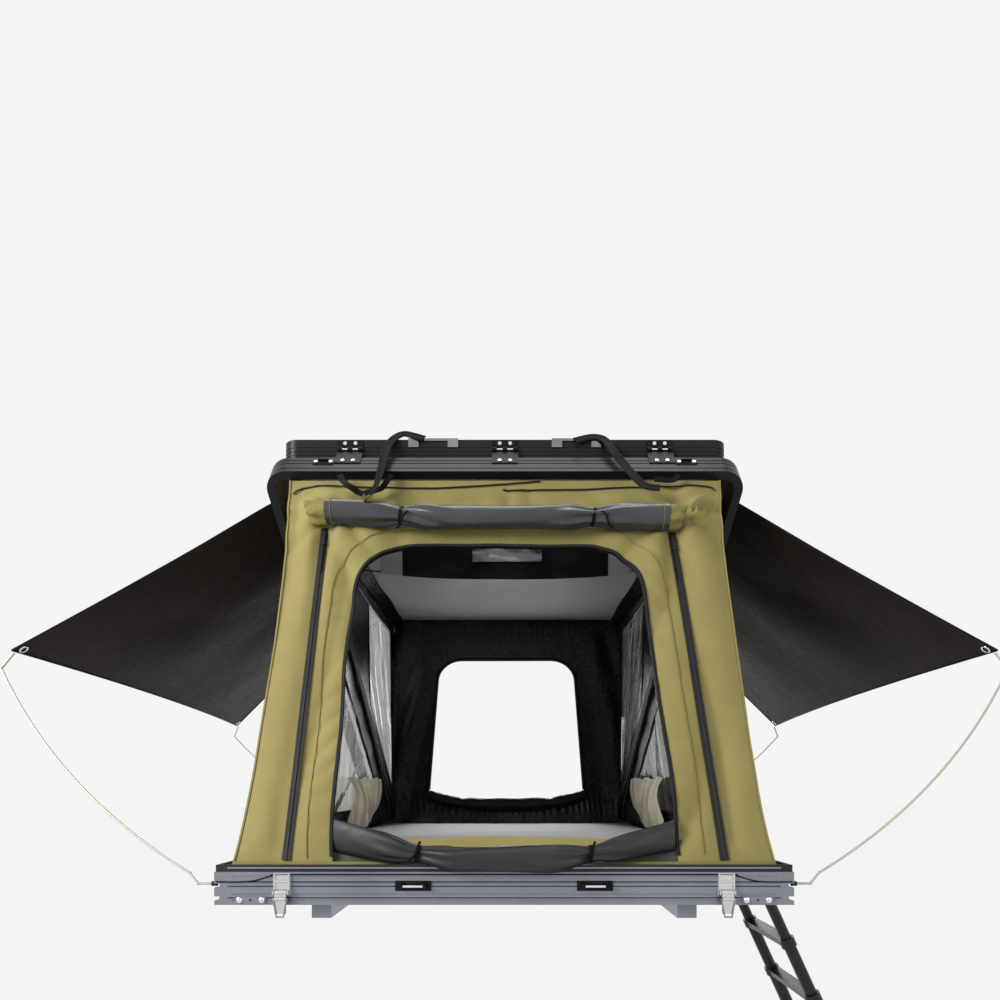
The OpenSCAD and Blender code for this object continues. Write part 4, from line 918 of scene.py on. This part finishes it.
for sign, side in SIDES:
    wall = Side(sign)
    for half, body, outline, window, middle, soft in HALVES:
        name = f"side_{half}_{side}"
        canvas, lining = lined_wall(name, "side_walls_" + half, wall, window, outline, middle, side_relief,
                                    SIDE_DEPTHS, 260, 30, body=body, soft=soft)
        dark = {"body": body, "slot": "dark_cloth", "soft": soft}
        pane = framed_sheet(name + "_pane", wall, small_hole(middle), window, middle, film_relief,
                            PANE_DEPTHS, FILM[side], 200, 40, **dark)
        edge = [wall.point(y, z, side_relief(y, z)) for y, z in window + window[:1]]
        tube(name + "_binding", edge, 0.0055, PIPING, sides=8, **dark)
        side_cloths.append((canvas, lining, pane, outline, window))

    # Strip inside, along the line where the fabric is drawn in, and a cord along its lower edge whose pale
    # grey is a painted highlight
    strip_line = [(y, arm_z(y)) for y in steps(*STRIP_Y, 60)]
    ribbon("side_strip_" + side, [wall.point(y, z, -0.010) for y, z in strip_line], (-sign, 0, 0), 0.052,
           0.0030, WEBBING, **LOWER_DARK)
    tube("side_strip_cord_" + side, [wall.point(y, z - 0.024, -0.012) for y, z in strip_line], 0.0028,
         PAINTED_HIGHLIGHT_CORD, sides=8, **LOWER_DARK)
    cord_line = [wall.point(mix(*CORD_Y, t), mix(*CORD_Z, t), -0.010) for t in steps(0.0, 1.0, 40)]
    tube("window_cord_" + side, cord_line, 0.0030, PALE_CORD, sides=8, body="lid", slot="dark_cloth",
         soft=soft_upper)

    # Khaki flap that hangs inside, at the foot of the lower window
    def flap_point(u, v, out):
        y = mix(*FLAP_WIDTH, u)
        top = min(FLAP_TOP + 0.005 * sin(17 * u), arm_z(y) - 0.035)
        z = mix(FLAP_LOW + 0.050 * abs(2 * u - 1) ** 4, top, v)
        wrinkles = crease(24 * y + 12 * z + 3 * rough(5 * y, 9 * z, 0, 63))
        belly = 0.008 + 0.020 * sin(pi * v)
        sag = belly + 0.006 * rough(9 * y, 14 * z, 0, 61) + 0.013 * wrinkles
        return wall.point(y, z, -0.014 + out - sag)

    thick_grid("side_flap_" + side, 120, 48, flap_point, (0.0008, -0.0008), KHAKI, body="base",
               slot="olive_canvas", soft=soft_lower)

# Ceiling board under the lid, and the trims along its edges
CEILING_HALF, CEILING_Y = 0.699, (-0.5513, 1.4272)
TRIM_X, TRIM_Y = (0.652, 0.702), (-0.50, 1.40)
LID_DARK = {"body": "lid", "slot": "dark_cloth", "soft": folding(UP, (0, 0, CEILING_LOW - 0.001))}


def ceiling_point(u, v, low):
    x, y = mix(-CEILING_HALF, CEILING_HALF, u), mix(*CEILING_Y, v)
    if not low:
        return Vector((x, y, LID_LOW))
    edge = min(1.0, 14 * min(u, 1 - u)) * min(1.0, 20 * min(v, 1 - v))
    wave = 0.0012 * rough(1.7 * x, 1.7 * y, 0, 71) + 0.0005 * sin(31 * x) * sin(31 * y)
    return Vector((x, y, CEILING_LOW - edge * (0.0012 + wave)))


ceiling = thick_grid("ceiling_board", 70, 90, ceiling_point, (True, False), CEILING, body="lid",
                     slot="ceiling_cloth")
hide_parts("ceiling_panel")
for sign, side in SIDES:
    def trim_point(u, v, out):
        y = mix(*TRIM_Y, v)
        wave = 0.008 * rough(3 * y, 2 * u, 0, 73 + sign) + 0.003 * sin(11 * y + 2 * u)
        z = CEILING_LOW - 0.003 - 0.046 * u * u - 0.006 * sin(pi * u) + out
        return Vector((sign * (mix(*TRIM_X, u) + wave * (1 - u)), y, z))

    thick_grid("ceiling_trim_" + side, 9, 110, trim_point, (0.0, 0.0012), GLOSS_LINING, **LID_DARK)

# Hanging organiser with its pockets and side ties
ORGANISER_Y, ORGANISER_HALF, ORGANISER_LOW = -0.29, 0.47, 1.1235
ORGANISER_DROP = CEILING_LOW - ORGANISER_LOW
TIE_END_X = 0.705
POCKETS = (("left", (-0.385, -0.128), (0.02, 1.0), 0.003, DARK_CLOTH),
           ("middle", (-0.128, 0.141), (0.02, 1.0), 0.003, DARK_CLOTH),
           ("right", (0.141, 0.385), (0.02, 1.0), 0.003, DARK_CLOTH),
           ("clear", (-0.122, 0.135), (0.42, 0.78), 0.022, CLEAR_POCKET))


def organiser_point(x, t, d):
    """A point on the organiser, by x, the share of its drop and the distance behind it."""
    z = CEILING_LOW - 0.0006 - ORGANISER_DROP * t * (1 - 0.09 * abs(x / ORGANISER_HALF) ** 3)
    sway = 0.006 * rough(6 * x, 5 * t, 0, 81) * min(1.0, 3 * t)
    return Vector((x, ORGANISER_Y + sway + d, z))


organiser = thick_grid("organiser_cloth", 70, 22,
                       lambda u, v, d: organiser_point(ORGANISER_HALF * (2 * u - 1), v, d),
                       (-0.0012, 0.0012), CEILING, **LID_DARK)
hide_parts("organiser")
for label, width, drop, lift, material in POCKETS:
    def pocket_point(u, v, d):
        x = mix(*width, u)
        belly = 0.014 * sin(pi * u) * sin(pi * min(1.0, 0.25 + 0.75 * v))
        wrinkle = 0.003 * rough(14 * x, 7 * v, 0, 83)
        return organiser_point(x, mix(*drop, v), -lift - belly - d - wrinkle)

    thick_grid("organiser_pocket_" + label, 30, 16, pocket_point, (0.0010, 0.0), material, **LID_DARK)
for sign, side in SIDES:
    corner = organiser_point(sign * (ORGANISER_HALF - 0.006), 0.97, 0)
    tie_end = Vector((sign * TIE_END_X, ORGANISER_Y, corner.z + 0.012))
    tube("organiser_tie_" + side, [corner.lerp(tie_end, t) for t in steps(0.0, 1.0, 10)], 0.0025, WEBBING,
         sides=8, **LID_DARK)

# Mattress: rings from its foot to its middle, as distance in from the edge and height
MATTRESS_HALF, MATTRESS_R = (0.695, 1.003), 0.045
MATTRESS_RINGS = [(0.030, 0.0563), (0.010, 0.0570), (0.003, 0.0610), (0.000, 0.0720), (0.000, 0.1080),
                  (0.003, 0.1230), (0.008, 0.1300), (0.016, 0.1343), (0.030, 0.1368), (0.060, 0.1390),
                  (0.110, 0.1412), (0.180, 0.1434), (0.270, 0.1450), (0.380, 0.1460), (0.500, 0.1464),
                  (0.600, 0.1464), (0.680, 0.1464)]
MATTRESS_PIPING = (("mattress_piping_top", 0.1320, 0.010), ("mattress_piping_foot", 0.0600, 0.003))
WRINKLED_FROM = 0.12


def mattress_ring(inset, count):
    """Rounded rectangle at a distance in from the edge, with its straight sides in equal steps."""
    half_x, half_y = MATTRESS_HALF[0] - inset, MATTRESS_HALF[1] - inset
    r = min(MATTRESS_R, half_x, half_y)
    x, y = half_x - r, half_y - r
    corners = (((x, y), 90), ((x, -y), 0), ((-x, -y), -90), ((-x, y), 180))
    arcs = [arc(centre, r, turn, turn - 90, 6) for centre, turn in corners]
    line = []
    for bend, following in zip(arcs, arcs[1:] + arcs[:1]):
        (x0, y0), (x1, y1) = bend[-1], following[0]
        line += bend + [(mix(x0, x1, k / count), mix(y0, y1, k / count)) for k in range(1, count)]
    return line


def mattress_wrinkle(x, y, inset):
    pulls = sin(75 * (x + y) + 5 * rough(4 * x, 4 * y, 0, 91)) * hill(inset, 0.03, 0.05)
    return 0.0012 * pulls + 0.0016 * rough(3 * x, 3 * y, 0, 93) * min(1.0, inset * 8)


mattress_verts = []
for inset, z in MATTRESS_RINGS:
    ring = mattress_ring(inset, 60)
    wrinkled = 1.0 if z > WRINKLED_FROM else 0.0
    mattress_verts += [(x, y, z + wrinkled * mattress_wrinkle(x, y, inset)) for x, y in ring]
mattress = make("mattress_cover", mattress_verts, ring_faces(len(MATTRESS_RINGS), len(ring)), PALE_COVER,
                "base", slot="mattress_cloth")
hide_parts("mattress")
for name, z, inset in MATTRESS_PIPING:
    ring = mattress_ring(inset, 40)
    tube(name, [(x, y, z) for x, y in ring + ring[:1]], 0.0032, PALE_COVER, sides=8, body="base",
         slot="mattress_cloth")

# Side awnings: a main sheet and a smaller near wing on each side
AWNING_T, WING_SHARE = 0.002, 0.23
AWNING_X, AWNING_HEAD_Z, AWNING_TIP_Z = (0.719, 1.470), 1.4163, (0.756, 0.678)
AWNING_HEAD_Y, AWNING_TIP_Y = (-0.420, 0.800), (-0.800, 0.850)
AWNING_LAYERS = (("under", (AWNING_T, AWNING_T / 2), AWNING, "awning_cloth"),
                 ("top", (AWNING_T / 2, 0.0), AWNING_TOP, "olive_canvas"))
# Each sheet's fold axis and anchor on the right, flat size and area, grid steps and place of its eyelet
AWNING_SHEETS = {"wing": ((0.736, -0.211, -0.643), (0.719, -0.42, 1.416), (0.40, 1.10), 0.172, 12, 0.06),
                 "main": ((0.719, 0, -0.695), (0.719, 0.19, 1.416), (1.32, 1.04), 1.27, 44, 0.985)}


def mirrored(place, sign):
    return Vector((sign * place[0], place[1], place[2]))


def awning_point(sign, u, v, depth):
    x = mix(*AWNING_X, u) - 0.046 * 4 * v * (1 - v) * u
    y = mix(mix(*AWNING_HEAD_Y, v), mix(*AWNING_TIP_Y, v), u)
    sag = 0.038 * sin(pi * u) * sin(pi * v)
    wave = 0.007 * sin(5 * pi * v) * sin(pi * v) * 4 * u * (1 - u)
    z = mix(AWNING_HEAD_Z, mix(*AWNING_TIP_Z, v), u) - sag + wave
    return Vector((sign * x, y, z - depth))


for sign, side in SIDES:
    for sheet, (axis, anchor, flat, area, across, tip_w) in AWNING_SHEETS.items():
        part = f"awning_{sheet}_{side}"
        on_lid = {"body": "lid", "soft": folding(mirrored(axis, sign), tuple(mirrored(anchor, sign)))}

        def place(u, w, depth):
            u = mix(0.004, 1.0, u)
            seam = WING_SHARE * u
            v = seam * w if sheet == "wing" else mix(seam, 1.0, w)
            fan = crease(7 * v + 2.2 * u + 1.5 * rough(2 * u, 3 * v, sign, 95)) * sin(pi * u)
            slack = 0.004 * rough(3 * u, 5 * v, sign, 97) * sin(pi * u)
            return awning_point(sign, u, v, depth + slack + 0.007 * fan)

        for layer, depths, material, slot in AWNING_LAYERS:
            cloth = thick_grid(f"{part}_{layer}", 44, across, place, depths, material, slot=slot, **on_lid)
            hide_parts("awnings")
        free_side = 0.0 if sheet == "wing" else 1.0
        hems = {"outer_hem": [place(1.0, t, 0.001) for t in steps(0.0, 1.0, 40)],
                "side_hem": [place(t, free_side, 0.001) for t in steps(0.0, 1.0, 40)]}
        for label, line in hems.items():
            tube(f"{part}_{label}", line, 0.0036, AWNING, sides=8, slot="awning_cloth", **on_lid)
        tip = place(0.985, tip_w, 0.001)
        ring = [tip + Vector((sign * 0.009 * cos(a), 0.011 * sin(a), -0.008 * cos(a)))
                for a in full_turn(24)]
        tube(part + "_eyelet", ring, 0.0030, BRIGHT, sides=8, slot="bright_pins", **on_lid)

# Dark gussets that close the awnings towards the near wall's top corners
GUSSET_CORNERS = ((0.728, -0.450, 1.440), (0.787, -0.460, 1.436), (0.787, -0.460, 1.290),
                  (0.728, -0.450, 1.270))
for sign, side in SIDES:
    corners = [mirrored(corner, sign) for corner in GUSSET_CORNERS]

    def gusset_point(u, v, out):
        spot = corners[0].lerp(corners[1], u).lerp(corners[3].lerp(corners[2], u), v)
        return spot + Vector((0, out + 0.003 * rough(9 * spot.x, 9 * spot.z, 0, 99), 0))

    thick_grid("awning_gusset_" + side, 24, 16, gusset_point, (0.001, 0.0), AWNING, body="lid",
               slot="awning_cloth", soft=folding(UP, (0, 0, 1.4158)))

# Pull-down webbing on the lid's near rim, in a plane that leans out of it
STRAP_SLOPE, STRAP_FOOT, STRAP_FOCAL = 0.601, (-0.60268, 1.48761), round(FOCAL_PX)
STRAP_OUT = Vector((0, -0.85717, 0.51504))
STRAP_END = {"left": Vector((-0.85, -0.5, 0.1)), "right": STRAP_OUT}
STRAP_PIXELS = {"left": [(424, 438.6), (412.4, 435.4), (403, 434), (394, 438.5), (387.4, 446.6),
                         (383.7, 457.7), (380.6, 470.7), (376.9, 483.6), (371.7, 494.7), (364.3, 501.2)],
                "right": [(575, 440.5), (590, 437), (600, 437.5), (607, 442), (614, 452), (624, 464),
                          (635, 477), (646, 486), (660, 488)]}
STRAP = {"body": "lid", "slot": "dark_cloth", "soft": folding(UP, (0, 0, 1.492))}


def strap_point(px, py):
    """Where the line of sight through a pixel meets the plane in which the straps hang."""
    k = (py - VANISH[1]) / STRAP_FOCAL
    y = (STRAP_FOOT[0] + STRAP_SLOPE * (EYE.z + EYE.y * k - STRAP_FOOT[1])) / (1 + STRAP_SLOPE * k)
    depth = y - EYE.y
    return Vector(((px - VANISH[0]) * depth / STRAP_FOCAL + EYE.x, y, EYE.z - k * depth))


for side, pixels in STRAP_PIXELS.items():
    points = smooth_path([strap_point(px, py) for px, py in pixels])
    normals = [STRAP_OUT.lerp(STRAP_END[side], max(0.0, t - 0.45) * 1.8).normalized()
               for t in steps(0.0, 1.0, len(points) - 1)]
    strap = ribbon("pull_strap_" + side, points, normals, 0.030, 0.0018, WEBBING, **STRAP)
    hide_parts("pull_straps")
    for label, row in (("a", -0.0085), ("b", 0.0085)):
        stitch = [p + direction(points, i).cross(STRAP_OUT) * row + STRAP_OUT * 0.0023
                  for i, p in enumerate(points)]
        tube(f"pull_strap_{side}_seam_{label}", stitch, 0.0006, PIPING, sides=6, **STRAP)

# Small pieces on the near face of the tray: black strips painted as the shade in its grooves, seal bead,
# cord and bolt heads
FACE_Y, FACE_HALF = -1.0503, 0.722
# The three groove strips are flat black ribbons: painted shade in the grooves
FACE_LINES = (("rail_groove_shade_1", 0.1002, 0.0022, 0.0006, BLACK_PAINT),
              ("rail_groove_shade_2", 0.0887, 0.0022, 0.0006, BLACK_PAINT),
              ("rail_groove_shade_3", 0.0585, 0.0022, 0.0006, BLACK_PAINT),
              ("seal_bead", 0.1367, 0.0045, 0.0008, SLATE))
FACE_CORD = [(-0.752, 0.1005), (-0.700, 0.1000), (-0.660, 0.1020), (-0.632, 0.1085), (-0.606, 0.1165),
             (-0.580, 0.1192), (-0.30, 0.1195), (0.0, 0.1193)]
CORD_R = 0.0016
BOLT_X, BOLT_Z, BOLT_R, BOLT_RISE = (-0.690, -0.632, 0.632, 0.690), 0.0535, 0.0085, 0.0055
BOLT_RINGS, BOLT_SIDES = 7, 20
for name, z, width, thickness, material in FACE_LINES:
    ribbon(name, [(x, FACE_Y, z) for x in steps(-FACE_HALF, FACE_HALF, 40)], (0, -1, 0), width, thickness,
           material, body="base", slot="dark_cloth")
cord_line = FACE_CORD + [(-x, z) for x, z in reversed(FACE_CORD[:-1])]
tube("tray_cord", smooth_path([(x, FACE_Y - CORD_R, z) for x, z in cord_line], 6), CORD_R, WEBBING, sides=8,
     body="base", slot="dark_cloth")
for number, x in enumerate(BOLT_X, 1):
    dome = []
    for rise in steps(0.0, pi / 2, BOLT_RINGS - 1):
        r, y = BOLT_R * cos(rise), FACE_Y - 0.0030 - BOLT_RISE * sin(rise)
        dome += [(x + r * cos(a), y, BOLT_Z + r * sin(a)) for a in full_turn(BOLT_SIDES)[:-1]]
    make(f"bolt_head_{number}", dome, ring_faces(BOLT_RINGS, BOLT_SIDES)[:-1], BRIGHT, "base",
         slot="bright_pins")

# Finishes of the pieces that keep their construction form
FINISHES = [
    (SLATE, ["mounting_channels", "base_front_rail", "base_rear_rail", "base_side_rails", "corner_plates"]),
    (LID_COAT, ["lid_near_rim", "lid_side_rims", "lid_far_rim", "lid_panel"]),
    (SLATE_FRAME, ["frame_near_rail", "frame_arms", "frame_far_rail"]),
    (BOARD, ["lid_crossbars", "base_floor"]),
    (SEAL, ["base_seal"]),
    (STEEL, ["latch_plates", "latch_lever_left", "latch_lever_right", "strut_rods"]),
    (DARK_STEEL, ["latch_bail_left", "latch_bail_right", "lid_handles"]),
    (ROD_STEEL, [f"awning_rod_{end}_{side}" for end in ("near", "far") for _, side in SIDES]),
    (BRIGHT, ["strike_bars", "near_hinge_pins", "frame_screws", "lid_screws"]),
    (BLACK_PAINT, ["strike_brackets", "rear_hinge_base_leaves", "ladder_bracket",
                   "near_hinge_frame_leaves", "rear_hinge_frame_leaves", "keeper_plates",
                   "near_hinge_lid_leaves", "strut_cylinders"]),
    (PLASTIC, ["rod_sockets"]),
    (LADDER_TUBE, [f"ladder_section_{number}" for number in range(1, 11)]),
]
for material, names in FINISHES:
    for name in names:
        materials = bpy.data.objects[name].data.materials
        materials.clear()
        materials.append(material)


# Flat sizes and cut areas of the end walls and the side cloths
def triangle_area(a, b, c):
    return abs((b[0] - a[0]) * (c[1] - a[1]) - (c[0] - a[0]) * (b[1] - a[1])) / 2


def outline_area(line):
    return sum(triangle_area(line[0], line[i], line[i + 1]) for i in range(1, len(line) - 1))


def extent(line):
    """Width and length of an outline."""
    return tuple(max(p[k] for p in line) - min(p[k] for p in line) for k in (0, 1))


near_flat, far_flat = (2 * FOOT_HALF, NEAR.length), (2 * far_half(FAR.length), FAR.length)
near_area = outline_area(near_outline) - outline_area(door_line)
far_area = outline_area(far_outline) - outline_area(window_line)
for canvas, lining, pane, outline, window in side_cloths:
    cut = outline_area(outline) - outline_area(window)
    extent(outline)
    extent(outline)
    extent(window)
    outline_area(window)
for _, side in SIDES:
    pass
for label, width, drop, lift, material in POCKETS:
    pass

# Floor, light and background
BACKGROUND, WORLD_LIGHT, WHITE = 0.915, 0.27, (1, 1, 1, 1)
FLOOR_Z, FLOOR_REACH, FLOOR_GREY, FLOOR_SHOWN = -1.6740, 60.0, 0.85, 0.97


def seen_directly(tree):
    """1 for what the camera, a reflection or clear film shows, and 0 for what only gives light."""
    path = add_node(tree, "ShaderNodeLightPath")
    seen = combine(tree, "MAXIMUM", path.outputs["Is Camera Ray"], path.outputs["Is Glossy Ray"])
    return combine(tree, "MAXIMUM", seen, path.outputs["Is Transmission Ray"])


def choose(tree, share, lit, shown, end):
    """Ends a node tree in what is lit, or by the share in what is shown."""
    both = add_node(tree, "ShaderNodeMixShader")
    tree.links.new(share, both.inputs["Fac"])
    tree.links.new(lit.outputs[0], both.inputs[1])
    tree.links.new(shown.outputs[0], both.inputs[2])
    tree.links.new(both.outputs[0], end.inputs["Surface"])


def floor_material():
    """Pale floor that keeps the shadow. The camera and reflections see mostly the backdrop's white."""
    material, tree, shader = new_material("pale_floor")
    set_inputs(shader, Base_Color=(FLOOR_GREY, FLOOR_GREY, FLOOR_GREY, 1), Roughness=0.9,
               Specular_IOR_Level=0.1)
    part = add_node(tree, "ShaderNodeMath", operation="MULTIPLY")
    tree.links.new(seen_directly(tree), part.inputs[0])
    part.inputs[1].default_value = FLOOR_SHOWN
    glow = add_node(tree, "ShaderNodeEmission", Color=WHITE, Strength=BACKGROUND)
    choose(tree, part.outputs[0], shader, glow, tree.nodes["Material Output"])
    return material


floor_mesh = bpy.data.meshes.new("floor")
floor_mesh.from_pydata([(x * FLOOR_REACH, y * FLOOR_REACH, FLOOR_Z)
                        for x, y in ((-1, -1), (1, -1), (1, 1), (-1, 1))], [], [(0, 1, 2, 3)])
floor_mesh.materials.append(floor_material())
floor = bpy.data.objects.new("floor", floor_mesh)
bpy.context.collection.objects.link(floor)

world = bpy.data.worlds.new("world")
bpy.context.scene.world = world
world.use_nodes = True
tree = world.node_tree
tree.nodes.clear()
lit = add_node(tree, "ShaderNodeBackground", Color=WHITE, Strength=WORLD_LIGHT)
shown = add_node(tree, "ShaderNodeBackground", Color=WHITE, Strength=BACKGROUND)
choose(tree, seen_directly(tree), lit, shown, add_node(tree, "ShaderNodeOutputWorld"))


# Lamps: place, point that it is aimed at, size and power in watts
LAMPS = {"key": ((-4.4, -3.6, 2.7), (0, -0.6, 0.6), (2.4, 2.4), 340),
         "fill": ((3.8, -4.2, 1.6), (0, -0.4, 0.6), (2.2, 2.2), 40),
         "over": ((0, 0.5, 5.0), (0, 0.3, 0.5), (3.5, 3.5), 90),
         "behind": ((0, 5.5, 2.2), (0, 0.5, 0.8), (3.0, 2.2), 90),
         "window": ((0, 2.9, 1.95), (0, -0.1, 0.15), (0.9, 0.5), 70)}
for name, (place, aim, size, power) in LAMPS.items():
    data = bpy.data.lights.new(name, "AREA")
    data.shape = "RECTANGLE"
    data.size, data.size_y = size
    data.energy = power
    lamp = bpy.data.objects.new(name, data)
    lamp.location = place
    lamp.rotation_euler = (Vector(aim) - Vector(place)).to_track_quat("-Z", "Y").to_euler()
    bpy.context.collection.objects.link(lamp)

bpy.context.scene.view_settings.view_transform = "Standard"
